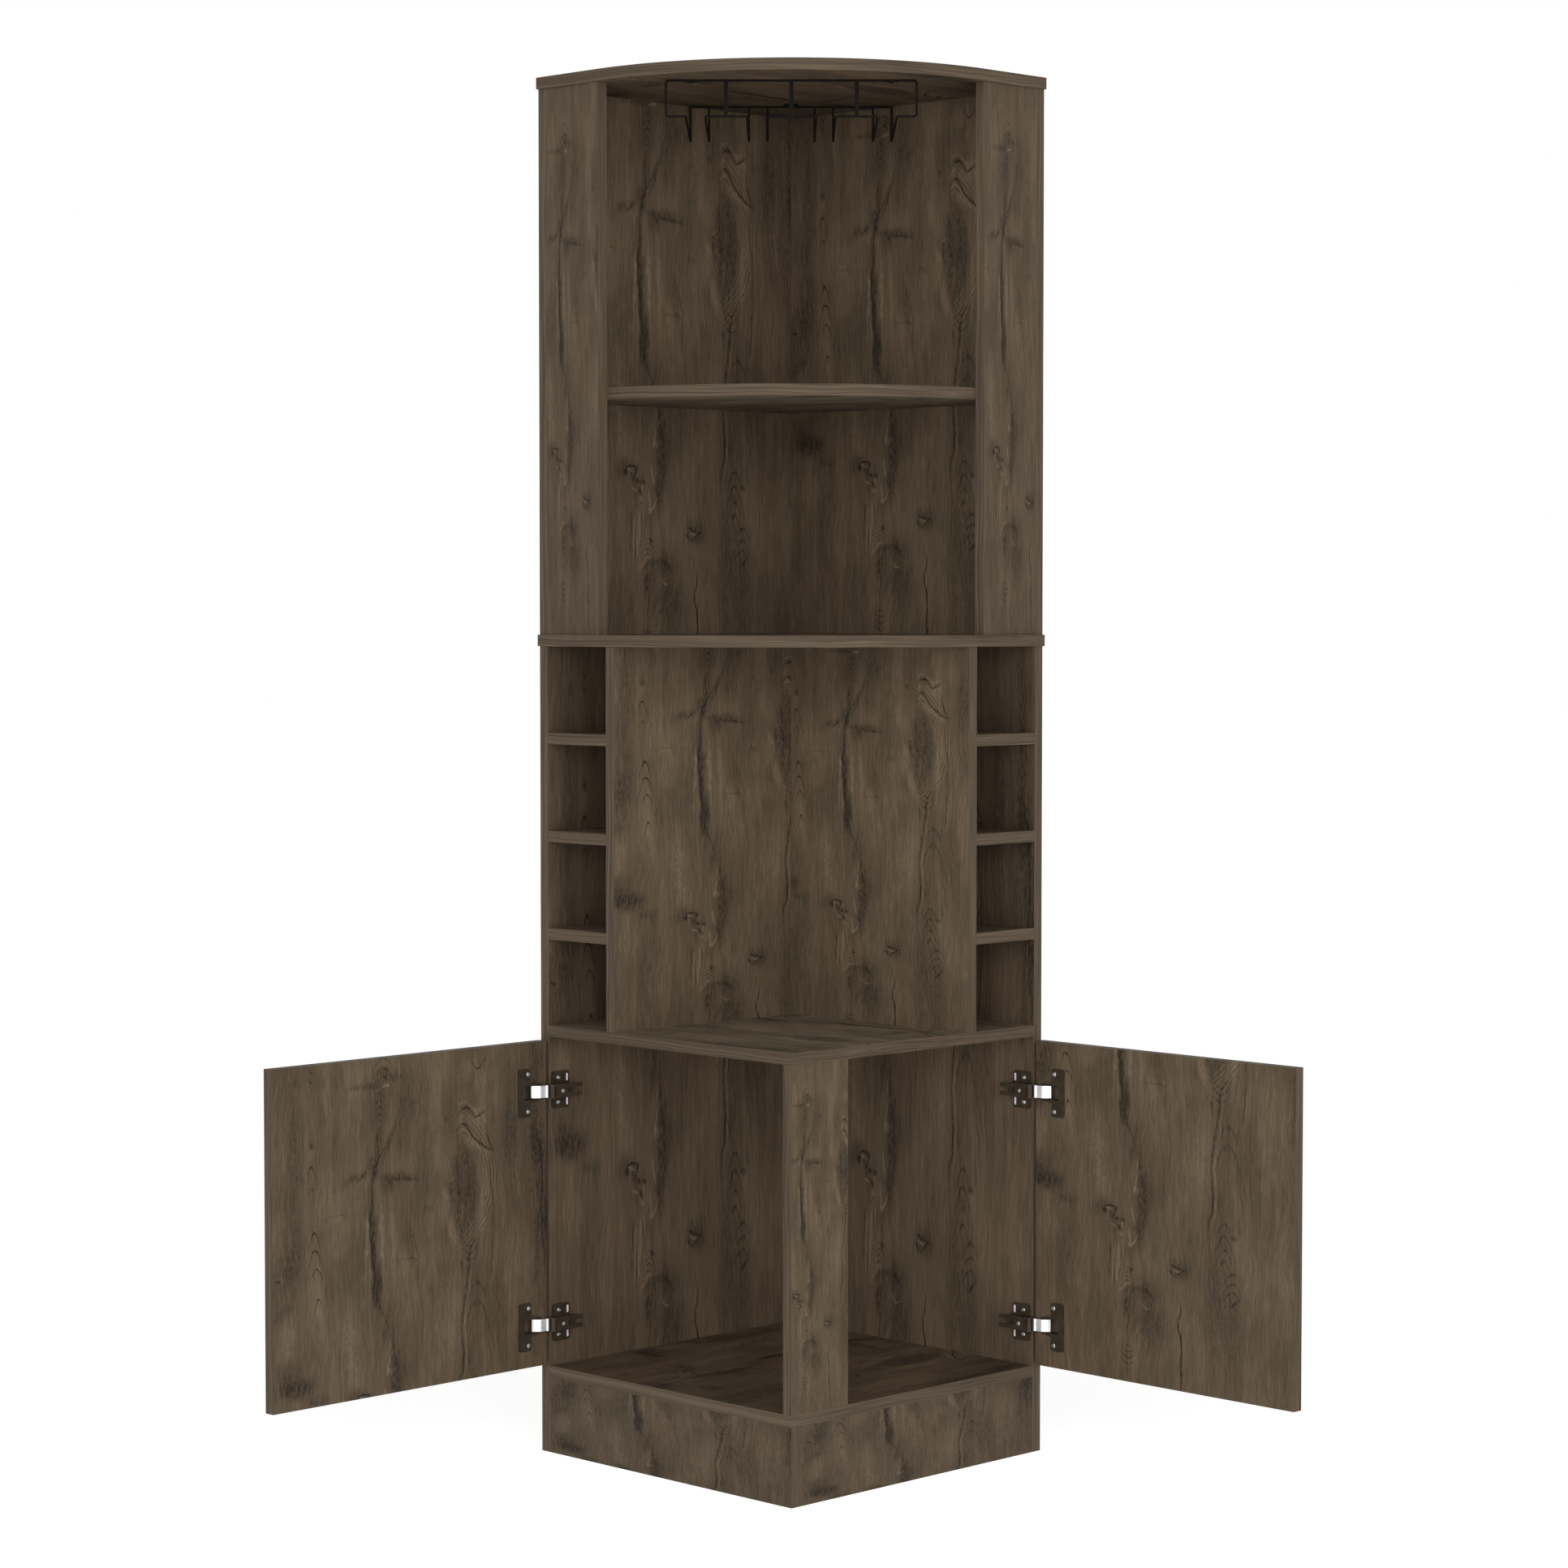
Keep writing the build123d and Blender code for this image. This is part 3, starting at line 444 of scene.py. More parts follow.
# The eye of the print, an almond that stands on its point: centre S, T, half width, half height.
# Its core fades between two shares of its size. Its rings lie on a belt, given the same way, and
# grow stronger across it from left to right.
EYE_CORE = (306, -54, 29, 74)
EYE_CORE_FADE = (1.08, 0.62)
EYE_DARKNESS = 0.24
EYE_RIM = (306, -46, 52, 92)
EYE_BELT_INSIDE = (0.50, 0.80)
EYE_BELT_OUTSIDE = (1.25, 1.0)
EYE_RINGS = 11.0
EYE_RING_SWAY = 5.0
EYE_RING_TONE = 0.15
EYE_RING_GROWTH = (-0.5, 0.6, 0.15, 1.0)

ONES = (1.0, 1.0, 1.0)
ZEROS = (0.0, 0.0, 0.0)


def in_threes(items):
    """The items three by three; the last three are filled up with copies that have no effect."""
    blank = items[-1][:-1] + (0.0,)
    filled = items + [blank] * (-len(items) % 3)
    return [filled[n:n + 3] for n in range(0, len(filled), 3)]


def squares(w, s3, t3, trio, grow=1.0):
    """Each item's axes at the sheet's point, and its squared distance, which is 1 at its rim."""
    rows = []
    for s, t, half_s, half_t, tilt, _ in trio:
        cos, sin = math.cos(math.radians(tilt)), math.sin(math.radians(tilt))
        a, b = grow * half_s, grow * half_t
        rows.append((cos / a, sin / a, -(s * cos + t * sin) / a, -sin / b, cos / b, (s * sin - t * cos) / b))
    across_s, across_t, across_0, along_s, along_t, along_0 = zip(*rows)
    across = w.vector("MULTIPLY_ADD", s3, across_s, across_0)
    along = w.vector("MULTIPLY_ADD", t3, along_t, along_0)
    if any(across_t):
        across = w.vector("MULTIPLY_ADD", t3, across_t, across)
        along = w.vector("MULTIPLY_ADD", s3, along_s, along)
    return across, w.vector("MULTIPLY_ADD", across, across, w.vector("MULTIPLY", along, along))


def inside(w, distance):
    """1 at the middle of each item, falling to 0 at its rim."""
    return w.vector("MAXIMUM", w.vector("SUBTRACT", ONES, distance), ZEROS)


def take(w, tone, mask, trio):
    """The tone less each item's mask times its darkness."""
    return w.maths("SUBTRACT", tone, w.vector("DOT_PRODUCT", mask, [item[-1] for item in trio]))


def add_spots(w, s3, t3, tone):
    """The tone with the soft spots, the tilted ones first."""
    for trio in in_threes(sorted(SOFT_SPOTS, key=lambda spot: spot[4] == 0)):
        mask = inside(w, squares(w, s3, t3, trio, SPOT_GROWTH)[1])
        tone = take(w, tone, w.vector("MULTIPLY", mask, mask), trio)
    return tone


def add_marks(w, s3, t3, tone):
    """The tone with the crisp marks."""
    for trio in in_threes(MARKS):
        mask = inside(w, squares(w, s3, t3, trio, MARK_GROWTH)[1])
        mask = w.vector("MINIMUM", w.vector("MULTIPLY", mask, (2.0, 2.0, 2.0)), ONES)
        tone = take(w, tone, mask, trio)
    return tone


def push_aside(w, s3, t3, s_value):
    """S with the grain spread round the bulges."""
    for trio in in_threes(BULGES):
        across, distance = squares(w, s3, t3, trio)
        fall = inside(w, distance)
        push = w.vector("MULTIPLY", across, w.vector("MULTIPLY", fall, fall))
        s_value = take(w, s_value, push, trio)
    return s_value


def add_arches(w, s3, t3, tone):
    """The tone with the arches, one below the other."""
    for trio in in_threes(ARCHES):
        s, t, half_s, drop, spacing, count, _ = zip(*trio)
        across = w.vector("MULTIPLY_ADD", s3, [1 / h for h in half_s], [-a / h for a, h in zip(s, half_s)])
        bow = w.vector("MULTIPLY", across, across)
        depth = w.vector("MULTIPLY_ADD", bow, drop, w.vector("SUBTRACT", t3, t))
        wave = w.vector("COSINE", w.vector("MULTIPLY", depth, [2 * math.pi / step for step in spacing]))
        line = w.vector("MAXIMUM", wave, ZEROS)
        line = w.vector("MULTIPLY", line, line)
        reach = [step * number / 2 for step, number in zip(spacing, count)]
        middle = [(r - step / 2) / r for r, step in zip(reach, spacing)]
        place = w.vector("MULTIPLY_ADD", depth, [1 / r for r in reach], middle)
        kept = inside(w, w.vector("MULTIPLY_ADD", place, place, bow))
        kept = w.vector("MINIMUM", w.vector("MULTIPLY", kept, (2.0, 2.0, 2.0)), ONES)
        tone = take(w, tone, w.vector("MULTIPLY", w.vector("MULTIPLY", line, line), kept), trio)
    return tone


def add_lines(w, run3, side3, tone, lines, swapped):
    """The tone with drawn lines; each follows a curve along the first axis."""
    for trio in in_threes(lines):
        paths = [sorted([(t, s) if swapped else (s, t) for s, t in points]) for points, _, _ in trio]
        starts = [path[0][0] for path in paths]
        lengths = [path[-1][0] - path[0][0] for path in paths]
        shifts = [-start / length for start, length in zip(starts, lengths)]
        place = w.vector("MULTIPLY_ADD", run3, [1 / length for length in lengths], shifts)
        lows = [min(y for _, y in path) for path in paths]
        spans = [max(y for _, y in path) - low for path, low in zip(paths, lows)]
        shares = [
            [((x - start) / length, (y - low) / span) for x, y in path]
            for path, start, length, low, span in zip(paths, starts, lengths, lows, spans)
        ]
        centre = w.curves(place, shares)
        widths = [half for _, half, _ in trio]
        shifts = [-low / half for low, half in zip(lows, widths)]
        gap = w.vector("MULTIPLY_ADD", side3, [1 / half for half in widths], shifts)
        gap = w.vector("MULTIPLY_ADD", centre, [-span / half for span, half in zip(spans, widths)], gap)
        end = w.stretched(place, (2.0, 2.0, 2.0), (-1.0, -1.0, -1.0))
        end = w.vector("MULTIPLY", end, end)
        fade = inside(w, w.vector("MULTIPLY", end, end))
        tone = take(w, tone, w.vector("MULTIPLY", inside(w, w.vector("MULTIPLY", gap, gap)), fade), trio)
    return tone


def almond(w, sheet, shape):
    """The distance from an almond's centre, 1 at its rim, and the place across it."""
    s, t, half_s, half_t = shape
    about = w.stretched(sheet, (1 / half_s, 1 / half_t, 0.0), (-s / half_s, -t / half_t, 0.0))
    across, along, _ = w.split(about)
    tall = w.maths("MULTIPLY", along, along)
    square = w.maths("MULTIPLY_ADD", across, across, tall)
    pinch = w.maths("MULTIPLY", w.maths("ABSOLUTE", across), tall)
    return w.maths("SQRT", w.maths("MULTIPLY_ADD", pinch, 0.9, square)), across


def add_eye(w, sheet, sway, tone):
    """The tone with the eye: a dark almond in fine rings, which are strongest on its right."""
    core, _ = almond(w, sheet, EYE_CORE)
    tone = w.maths("SUBTRACT", tone, w.span(core, *EYE_CORE_FADE, 0.0, EYE_DARKNESS))
    radius, across = almond(w, sheet, EYE_RIM)
    wobble = w.maths("MULTIPLY", sway, EYE_RING_SWAY)
    turns = w.maths("MULTIPLY_ADD", radius, EYE_RINGS * 2 * math.pi, wobble)
    belt = w.maths("MULTIPLY", w.span(radius, *EYE_BELT_INSIDE), w.span(radius, *EYE_BELT_OUTSIDE))
    strength = w.maths("MULTIPLY", belt, w.span(across, *EYE_RING_GROWTH))
    rings = w.maths("MULTIPLY", w.maths("SINE", turns), strength)
    return w.maths("MULTIPLY_ADD", rings, EYE_RING_TONE, tone)


def moved(w, plain, sway, ripple, by_sway, by_ripple):
    """A place moved by the sway and the ripple, which are 0.5 on average."""
    shifted = w.maths("MULTIPLY_ADD", sway, by_sway, w.maths("SUBTRACT", plain, (by_sway + by_ripple) / 2))
    return w.maths("MULTIPLY_ADD", ripple, by_ripple, shifted)


def thrice(w, s_value, t_value):
    """S and T, each on all three axes of a vector."""
    return w.join(s_value, s_value, s_value), w.join(t_value, t_value, t_value)


def add_features(w, soft, crisp, place, sway, tone):
    """The tone with all that is drawn: the spots at the soft S and T, the rest at the crisp ones."""
    s3, t3 = crisp
    tone = add_spots(w, *soft, tone)
    tone = add_marks(w, s3, t3, tone)
    tone = add_arches(w, s3, t3, tone)
    tone = add_lines(w, t3, s3, tone, UPRIGHT_LINES, True)
    tone = add_lines(w, s3, t3, tone, LEVEL_LINES, False)
    return add_eye(w, place, sway, tone)


def oak_print():
    """The printed oak as a group: a colour, a height and a roughness from the place on the sheet."""
    outputs = [("Color", "Color"), ("Height", "Float"), ("Roughness", "Float")]
    tree, w, given, out = new_group("oak_print", [("Sheet", "Vector")], outputs)
    sheet = given[0]
    s_plain, t_plain, _ = w.split(sheet)

    sway = w.pattern(sheet, SWAY_SIZE)
    ripple = w.pattern(sheet, RIPPLE_SIZE, (7.0, 3.0))
    s_value = w.maths("ADD", s_plain, w.maths("MULTIPLY_ADD", ripple, RIPPLE_S, -RIPPLE_S / 2))
    t_value = w.maths("ADD", t_plain, w.maths("MULTIPLY_ADD", ripple, RIPPLE_T, -RIPPLE_T / 2))
    crisp = thrice(w, s_value, t_value)
    grain_s = push_aside(w, *crisp, w.maths("MULTIPLY_ADD", sway, GRAIN_SWAY, s_value))
    grain = w.join(grain_s, t_value)

    cloud = w.pattern(sheet, CLOUD_SIZE, (3.1, 8.2), detail=2.0)
    band = w.pattern(grain, BAND_SIZE, detail=2.0)
    streak = w.pattern(grain, STREAK_SIZE, (5.0, 1.0), detail=2.0, roughness=0.6)
    fibre = w.pattern(grain, FIBRE_SIZE, (1.0, 9.0))

    tone = w.maths("MULTIPLY_ADD", cloud, TONE_CLOUD, TONE_LEVEL)
    tone = w.maths("MULTIPLY_ADD", band, TONE_BAND, tone)
    plain = w.maths("MULTIPLY_ADD", streak, TONE_STREAK, tone)
    soft_s = moved(w, s_plain, sway, ripple, SOFT_SWAY_S, SOFT_RIPPLE_S)
    soft_t = moved(w, t_plain, sway, ripple, SOFT_SWAY_T, SOFT_RIPPLE_T)
    soft = thrice(w, soft_s, soft_t)
    tone = add_features(w, soft, crisp, w.join(s_value, t_value), sway, plain)

    crumb = w.pattern(grain, CRUMB_SIZE, (4.0, 2.0), detail=0.0)
    grit = w.maths("MULTIPLY_ADD", fibre, 0.5, crumb)
    grit = w.span(grit, 0.5, 1.0, FEATURE_STRONG, FEATURE_WEAK, smooth=False)
    tone = w.maths("MULTIPLY_ADD", w.maths("SUBTRACT", tone, plain), grit, plain)
    fine = w.maths("MULTIPLY_ADD", fibre, TONE_FIBRE, tone)
    colour = w.ramp(fine, OAK_STOPS)
    tint = w.mix(w.span(band, 0.35, 0.65, smooth=False), OAK_OLIVE, OAK_ROSE)
    w.feed(out["Color"], w.mix(1.0, colour, tint, "MULTIPLY"))
    w.feed(out["Height"], w.pattern(sheet, PORE_SIZE, detail=0.0))
    w.feed(out["Roughness"], w.span(fine, 0.2, 0.8, 0.62, 0.50, smooth=False))
    return tree


def stripes(w, through, along, wander, shape, detail):
    """Noise drawn out along an edge; its shape is as EDGE_BROAD_STRIPES says."""
    per_metre_through, sideways, per_metre_along = shape
    level = w.maths("MULTIPLY_ADD", through, per_metre_through, w.maths("MULTIPLY", wander, sideways))
    length = w.stretched(along, (per_metre_along, per_metre_along, per_metre_along))
    return w.solid_noise(w.vector("ADD", length, w.join(level)), detail=detail)


def edge_band():
    """The striped band on a board's edges as a group: stripes run along the edge."""
    inputs = [("Place", "Vector"), ("Thickness", "Vector")]
    tree, w, given, out = new_group("edge_band", inputs, [("Color", "Color")])
    place, thickness = given[0], given[1]
    through = w.vector("DOT_PRODUCT", place, thickness)
    along = w.vector("SUBTRACT", place, w.vector("MULTIPLY", place, thickness))
    wander = w.solid_noise(along, scale=EDGE_WANDER_SCALE, detail=0.0)
    broad = stripes(w, through, along, wander, EDGE_BROAD_STRIPES, 1.0)
    fine = stripes(w, through, along, wander, EDGE_FINE_STRIPES, 1.0)
    tone = w.maths("MULTIPLY_ADD", broad, EDGE_BROAD, EDGE_LEVEL)
    tone = w.maths("MULTIPLY_ADD", fine, EDGE_FINE, tone)
    w.feed(out["Color"], w.ramp(tone, OAK_STOPS))
    return tree


OAK_PRINT = oak_print()
EDGE_BAND = edge_band()

# The tint of the boards that look cooler than the rest
COOL = (0.93, 1.0, 1.07)

# Where the print lies on each board, in millimetres: the thickness axis; then for the sheet's S
# and T the board's axis, its direction, the place of S = 0 or T = 0, and the stretch. Some
# boards also have a level of painted light: a factor on the print's colour that paints in light
# or shade. It is lighter on the counter, the upper shelf, the bottom panel, the inner walls and
# the dividers, and darker on the stiles and plinths. Two boards also have a cooler tint.
WALL_LOWER_T = ("z", 1, 834.0, 1.58)
PLINTH_T = ("z", 1, 143.4, 0.48)
STILE_T = ("z", 1, 1610.0, 0.985)
BOARD_PRINTS_AND_PAINTED_LIGHT = {
    "left_door": ("x", ("y", 1, -919.5, 1.0), ("z", 1, 417.0, 1.0)),
    "right_door": ("y", ("x", 1, 452.5, 1.02), ("z", 1, 637.5, 1.0)),
    "upper_left_wall": ("x", ("y", 1, -465.0, 1.05), ("z", 1, 1667.0, 1.24), 1.05),
    "upper_right_wall": ("y", ("x", 1, 15.0, 1.0), ("z", 1, 1643.7, 1.13), 1.07),
    "lower_left_wall": ("x", ("y", 1, -465.0, 1.05), WALL_LOWER_T),
    "lower_right_wall": ("y", ("x", 1, 15.0, 1.0), WALL_LOWER_T),
    "left_divider": ("x", ("y", 1, -481.0, 1.08), ("z", 1, 990.0, 0.94), 1.04),
    "right_divider": ("y", ("x", 1, 95.6, 0.929), ("z", 1, 975.0, 0.85), 1.06),
    "left_stile": ("y", ("x", 1, -44.5, 0.538), STILE_T, 0.84),
    "right_stile": ("x", ("y", 1, -173.0, 0.58), STILE_T, 0.88),
    "corner_post": ("x", ("y", 1, -526.5, 0.497), ("z", 1, 443.0, 0.6)),
    "left_plinth": ("y", ("x", 1, 20.0, 1.016), PLINTH_T, 0.78),
    "right_plinth": ("x", ("y", 1, -442.2, 0.93), PLINTH_T, 0.83),
    "bottom_panel": ("z", ("x", 1, 15.0, 1.0), ("y", 1, -48.0, 1.0), 1.15),
    "counter": ("z", ("y", -1, -15.0, 1.0), ("x", 1, 428.0, 0.9), 1.76, COOL),
    "top_panel": ("z", ("x", 1, 0.0, 1.0), ("y", 1, -90.0, 1.0)),
    "middle_panel": ("z", ("x", 1, 0.0, 1.0), ("y", 1, -20.0, 1.0)),
    "upper_shelf": ("z", ("y", -1, 0.0, 1.0), ("x", 1, 400.0, 1.0), 1.43, COOL),
}
for number in (1, 2, 3):
    left, right = 15.0 - 90.0 * number, -15.0 - 110.0 * number
    BOARD_PRINTS_AND_PAINTED_LIGHT[f"left_bottle_shelf_{number}"] = ("z", ("x", 1, left, 1.0), ("y", 1, -60.0, 1.0))
    BOARD_PRINTS_AND_PAINTED_LIGHT[f"right_bottle_shelf_{number}"] = ("z", ("y", 1, right, 1.0), ("x", 1, 400.0, 1.0))

AXES = {"x": (1.0, 0.0, 0.0), "y": (0.0, 1.0, 0.0), "z": (0.0, 0.0, 1.0)}


def oak_board(name, thickness, across, along, painted_light=1.0, tint=ONES):
    """The laminate of one board: the print on its faces, with painted light or shade and a tint on some
    boards, and the band on its edges.
    """
    material, w, shader = new_material(f"oak_{name}")
    where = w.node("ShaderNodeTexCoord")
    parts = dict(zip("xyz", w.split(where.outputs["Object"])))
    sheet = []
    for axis, way, zero, stretch in (across, along):
        scale = way / stretch / MM
        sheet.append(w.maths("MULTIPLY_ADD", parts[axis], scale, -zero * MM * scale))
    face = w.place(OAK_PRINT, sheet=w.join(*sheet))
    edge = w.place(EDGE_BAND, place=where.outputs["Object"], thickness=AXES[thickness])
    facing = w.maths("ABSOLUTE", w.vector("DOT_PRODUCT", where.outputs["Normal"], AXES[thickness]))
    on_face = w.maths("GREATER_THAN", facing, 0.5)
    printed = face["Color"]
    # The print's colour times this board's level of painted light: painted light or painted shade
    if painted_light != 1.0:
        printed = w.mix(1.0, printed, [painted_light * part for part in tint] + [1.0], "MULTIPLY")
    w.feed(shader.inputs["Base Color"], w.mix(on_face, edge["Color"], printed))
    w.feed(shader.inputs["Normal"], w.bump(face["Height"], PORE_STRENGTH, PORE_DEPTH))
    w.feed(shader.inputs["Roughness"], face["Roughness"])
    shader.inputs["Specular IOR Level"].default_value = LAMINATE_GLOSS
    return material


# Metals and the small wooden parts


def wear():
    """Fine speckle and broad smudges as a group, for painted and plated metal."""
    inputs = [("Place", "Vector"), ("Speckle", "Float"), ("Smudge", "Float")]
    outputs = [("Speckle", "Float"), ("Smudge", "Float"), ("Height", "Float")]
    tree, w, given, out = new_group("metal_wear", inputs, outputs)
    place, speckle, smudge = given[0], given[1], given[2]
    grains = w.solid_noise(place, scale=speckle, detail=2.0, roughness=0.6)
    clouds = w.solid_noise(place, scale=smudge, detail=2.0)
    w.feed(out["Speckle"], w.span(grains, 0.3, 0.7))
    w.feed(out["Smudge"], w.span(clouds, 0.35, 0.65))
    w.feed(out["Height"], grains)
    return tree


METAL_WEAR = wear()


def metal(name, dark, light, rough, speckle=2600.0, smudge=70.0, bump=0.06, metallic=1.0, specular=0.5):
    """A metal finish with speckle, smudges and a slight texture."""
    material, w, shader = new_material(name)
    where = w.node("ShaderNodeTexCoord")
    worn = w.place(METAL_WEAR, place=where.outputs["Object"], speckle=speckle, smudge=smudge)
    tone = w.maths("MULTIPLY_ADD", worn["Smudge"], 0.6, w.maths("MULTIPLY", worn["Speckle"], 0.4))
    w.feed(shader.inputs["Base Color"], w.mix(tone, dark, light))
    w.feed(shader.inputs["Roughness"], w.span(tone, 0.0, 1.0, rough[0], rough[1], smooth=False))
    w.feed(shader.inputs["Normal"], w.bump(worn["Height"], bump, METAL_TEXTURE))
    shader.inputs["Metallic"].default_value = metallic
    shader.inputs["Specular IOR Level"].default_value = specular
    return material


BRIGHT_ZINC = metal(
    "slot_plate_zinc", (0.88, 0.88, 0.88, 1.0), (0.96, 0.96, 0.96, 1.0), (0.34, 0.44),
    bump=0.03, metallic=0.1)
BRONZE = metal(
    "hinge_bronze", (0.036, 0.0262, 0.0165, 1.0), (0.059, 0.0435, 0.0275, 1.0), (0.40, 0.52),
    metallic=0.2, specular=0.22)
CHROME = metal(
    "link_chrome", (0.86, 0.87, 0.88, 1.0), (0.95, 0.95, 0.96, 1.0), (0.24, 0.34),
    bump=0.03, metallic=0.6)
STEEL = metal("screw_steel", (0.52, 0.52, 0.53, 1.0), (0.74, 0.74, 0.75, 1.0), (0.22, 0.36))
ZINC = metal(
    "cam_zinc", (0.36, 0.37, 0.39, 1.0), (0.55, 0.56, 0.58, 1.0), (0.40, 0.58),
    speckle=1500.0, bump=0.3)
BLACK_WIRE = metal(
    "rack_black", (0.0050, 0.0040, 0.0034, 1.0), (0.0095, 0.0078, 0.0064, 1.0), (0.55, 0.68),
    bump=0.15, metallic=0.0, specular=0.08)


def beech():
    """Raw beech with short flecks along the grain, for the dowels."""
    material, w, shader = new_material("dowel_beech")
    where = w.node("ShaderNodeTexCoord").outputs["Object"]
    streaks = w.solid_noise(w.stretched(where, (900.0, 900.0, 70.0)), detail=3.0, roughness=0.6)
    flecks = w.solid_noise(w.stretched(where, (2600.0, 2600.0, 420.0)), detail=1.0)
    tone = w.maths("MULTIPLY_ADD", w.span(flecks, 0.58, 0.70), -0.3, streaks)
    w.feed(shader.inputs["Base Color"], w.ramp(tone, [
        (0.1, (0.28, 0.17, 0.085, 1.0)), (0.5, (0.52, 0.36, 0.20, 1.0)), (0.9, (0.66, 0.49, 0.30, 1.0)),
    ]))
    w.feed(shader.inputs["Normal"], w.bump(tone, 0.25, 0.0003))
    shader.inputs["Roughness"].default_value = 0.7
    return material


BEECH = beech()

FITTINGS = {
    "hinge_plate": BRONZE,
    "hinge_arm": BRONZE,
    "hinge_link": CHROME,
    "hinge_cup": BRONZE,
    "cup_screws": STEEL,
    "plate_screws": STEEL,
    "arm_screws": STEEL,
    "hinge_pins": STEEL,
    "wall_screws": STEEL,
    "inner_screws": STEEL,
    "cam_bolts": STEEL,
    "cam_discs": ZINC,
    "dowels": BEECH,
    "rack_": BLACK_WIRE,
}


def dress(node, material):
    """Gives a CAD node one material and keeps its mesh as it is."""
    slots = node.data.materials
    slots.clear()
    slots.append(material)


for name, node in sorted(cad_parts.items()):
    if name in BOARD_PRINTS_AND_PAINTED_LIGHT:
        dress(node, oak_board(name, *BOARD_PRINTS_AND_PAINTED_LIGHT[name]))
    else:
        kind = next(key for key in FITTINGS if key in name)
        dress(node, FITTINGS[kind])


# The bright adjusting plates in the slots of the hinges' mounting plates, in millimetres. They lie
# on the wall's inner face, one board's thickness from the cabinet's back, and show in the slots.
HINGE_HEIGHTS = {"upper": 479.0, "lower": 171.0}
SLOT_FROM_BACK = 434.7
SLOT_FROM_HINGE_CENTRE = 16.0
SLOT_PLATE_SIZE = (1.7, 3.3, 10.0)
SLOT_PLATE_CORNER = 1.5


def slot_plate(shape, side, height):
    """Adds one plate with rounded corners to a mesh, on the left or the right wall."""
    thick, wide, tall = (size * MM for size in SLOT_PLATE_SIZE)
    middle, back = BOARD * MM + thick / 2, SLOT_FROM_BACK * MM
    size = (thick, wide, tall) if side == "left" else (wide, thick, tall)
    place = (middle, -back, height) if side == "left" else (back, -middle, height)
    corners = bmesh.ops.create_cube(shape, size=1.0)["verts"]
    bmesh.ops.scale(shape, vec=size, verts=corners)
    bmesh.ops.translate(shape, vec=place, verts=corners)
    through = 0 if side == "left" else 1
    edges = {edge for corner in corners for edge in corner.link_edges}
    short = [edge for edge in edges if abs(edge.verts[0].co[through] - edge.verts[1].co[through]) > thick / 2]
    short.sort(key=lambda edge: tuple(edge.verts[0].co))
    bmesh.ops.bevel(
        shape, geom=short, offset=SLOT_PLATE_CORNER * MM, segments=6, profile=0.5,
        affect="EDGES", material=-1)


def slot_plates(side, level):
    """The two adjusting plates of one hinge as a piece that rides with the cabinet."""
    shape = bmesh.new()
    for way in (-1, 1):
        slot_plate(shape, side, (HINGE_HEIGHTS[level] + way * SLOT_FROM_HINGE_CENTRE) * MM)
    name = f"{side}_{level}_slot_plates"
    mesh = bpy.data.meshes.new(name)
    shape.to_mesh(mesh)
    shape.free()
    mesh.materials.append(BRIGHT_ZINC)
    piece = bpy.data.objects.new(name, mesh)
    bpy.context.scene.collection.objects.link(piece)
    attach(piece, "cabinet")


for side in ("left", "right"):
    for level in HINGE_HEIGHTS:
        slot_plates(side, level)


# Studio


def aim(item, target):
    """Turns a lamp so that it faces a point."""
    item.rotation_euler = (target - item.location).to_track_quat("-Z", "Y").to_euler()


def front_light():
    """A soft broad lamp before the cabinet's corner."""
    lamp = bpy.data.lights.new("front_light", "AREA")
    lamp.shape = "RECTANGLE"
    lamp.size, lamp.size_y = FRONT_LIGHT_SIZE
    lamp.energy = FRONT_LIGHT_WATTS
    item = bpy.data.objects.new("front_light", lamp)
    item.location = FRONT_LIGHT_PLACE
    bpy.context.scene.collection.objects.link(item)
    aim(item, FRONT_LIGHT_AIM)


def seen_directly(w):
    """1 for rays from the camera and from mirror-like or clear surfaces."""
    path = w.node("ShaderNodeLightPath").outputs
    seen = w.maths("MAXIMUM", path["Is Camera Ray"], path["Is Glossy Ray"])
    return w.maths("MAXIMUM", seen, path["Is Transmission Ray"])


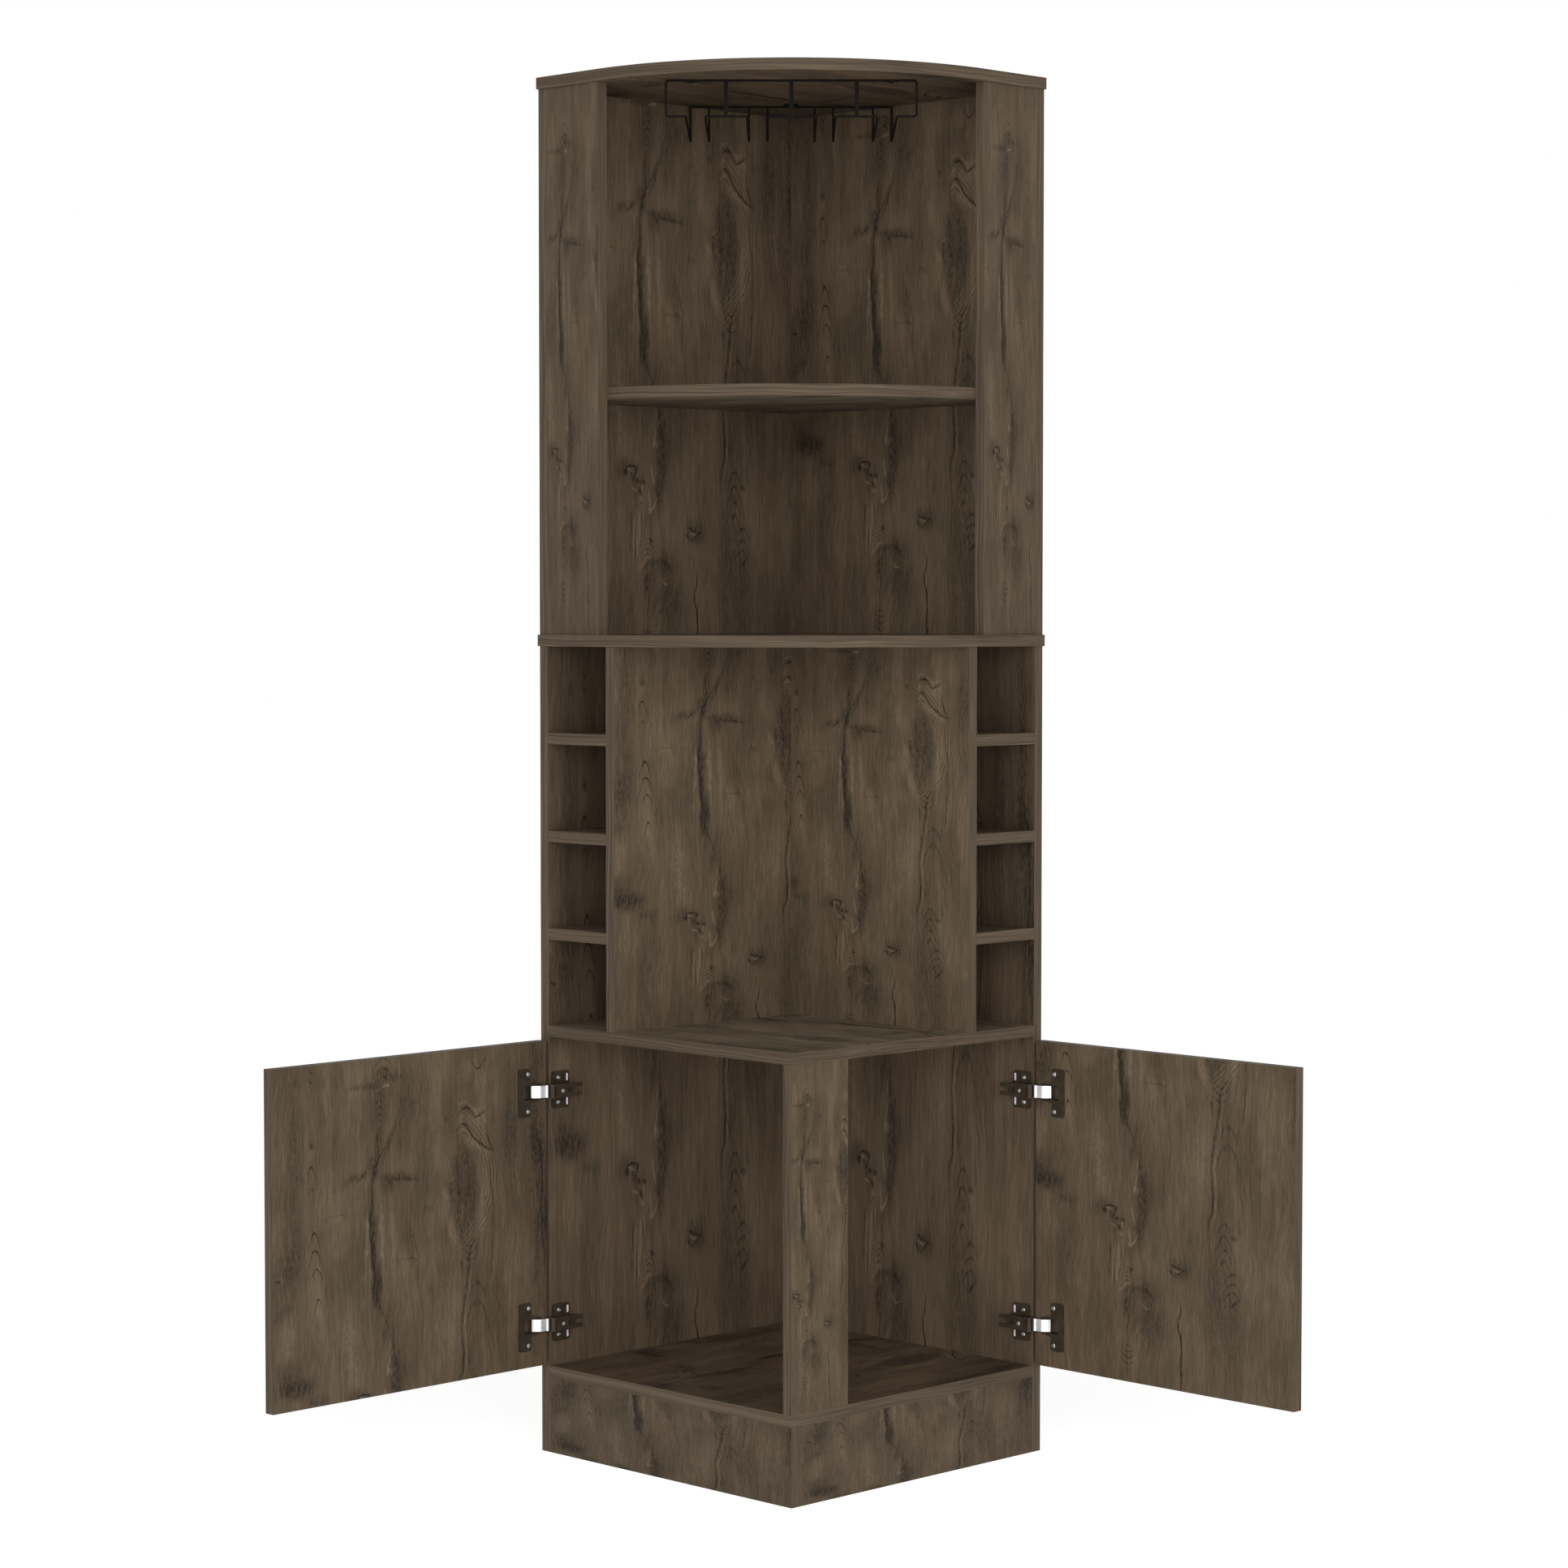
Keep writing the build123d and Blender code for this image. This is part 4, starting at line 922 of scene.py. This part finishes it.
def white_world():
    """A white studio: plain white when seen, and as light strongest from the front."""
    world = bpy.data.worlds.new("studio")
    world.use_nodes = True
    tree = world.node_tree
    tree.nodes.clear()
    w = Wires(tree)
    sky = w.node("ShaderNodeBackground")
    sky.inputs["Color"].default_value = (1.0, 1.0, 1.0, 1.0)
    way = w.node("ShaderNodeTexCoord").outputs["Generated"]
    light = EVEN_LIGHT
    for broad_way in BROAD_LIGHT_WAYS:
        ahead = w.maths("MAXIMUM", w.vector("DOT_PRODUCT", way, broad_way), 0.0)
        light = w.maths("MULTIPLY_ADD", w.maths("POWER", ahead, BROAD_LIGHT_FOCUS), BROAD_LIGHT, light)
    w.feed(sky.inputs["Strength"], w.span(seen_directly(w), 0.0, 1.0, light, 1.0, smooth=False))
    tree.links.new(sky.outputs[0], w.node("ShaderNodeOutputWorld").inputs[0])
    bpy.context.scene.world = world


def pale_floor():
    """A plain floor that looks white and keeps the cabinet's shadow."""
    material, w, shader = new_material("studio_floor")
    shader.inputs["Base Color"].default_value = FLOOR_GREY
    shader.inputs["Roughness"].default_value = 0.9
    shader.inputs["Specular IOR Level"].default_value = 0.0
    shader.inputs["Emission Color"].default_value = (1.0, 1.0, 1.0, 1.0)
    glow = w.span(seen_directly(w), 0.0, 1.0, FLOOR_BOUNCE, FLOOR_GLOW, smooth=False)
    w.feed(shader.inputs["Emission Strength"], glow)
    mesh = bpy.data.meshes.new("floor")
    shape = bmesh.new()
    bmesh.ops.create_grid(shape, x_segments=1, y_segments=1, size=FLOOR_SIZE / 2)
    shape.to_mesh(mesh)
    shape.free()
    mesh.materials.append(material)
    floor = bpy.data.objects.new("floor", mesh)
    bpy.context.scene.collection.objects.link(floor)


def camera():
    """The camera at the photograph's place, with its lens and framing."""
    data = bpy.data.cameras.new("camera")
    data.lens = LENS_MM
    data.sensor_width = SENSOR_MM
    data.clip_end = 100.0
    item = bpy.data.objects.new("camera", data)
    item.location = CAMERA_PLACE
    azimuth, pitch = math.radians(CAMERA_AZIMUTH), math.radians(CAMERA_PITCH)
    level = math.cos(pitch)
    look = Vector((level * math.cos(azimuth), level * math.sin(azimuth), math.sin(pitch)))
    item.rotation_euler = look.to_track_quat("-Z", "Y").to_euler()
    bpy.context.scene.collection.objects.link(item)
    bpy.context.scene.camera = item


camera()
front_light()
white_world()
pale_floor()
bpy.context.scene.view_settings.view_transform = "Standard"
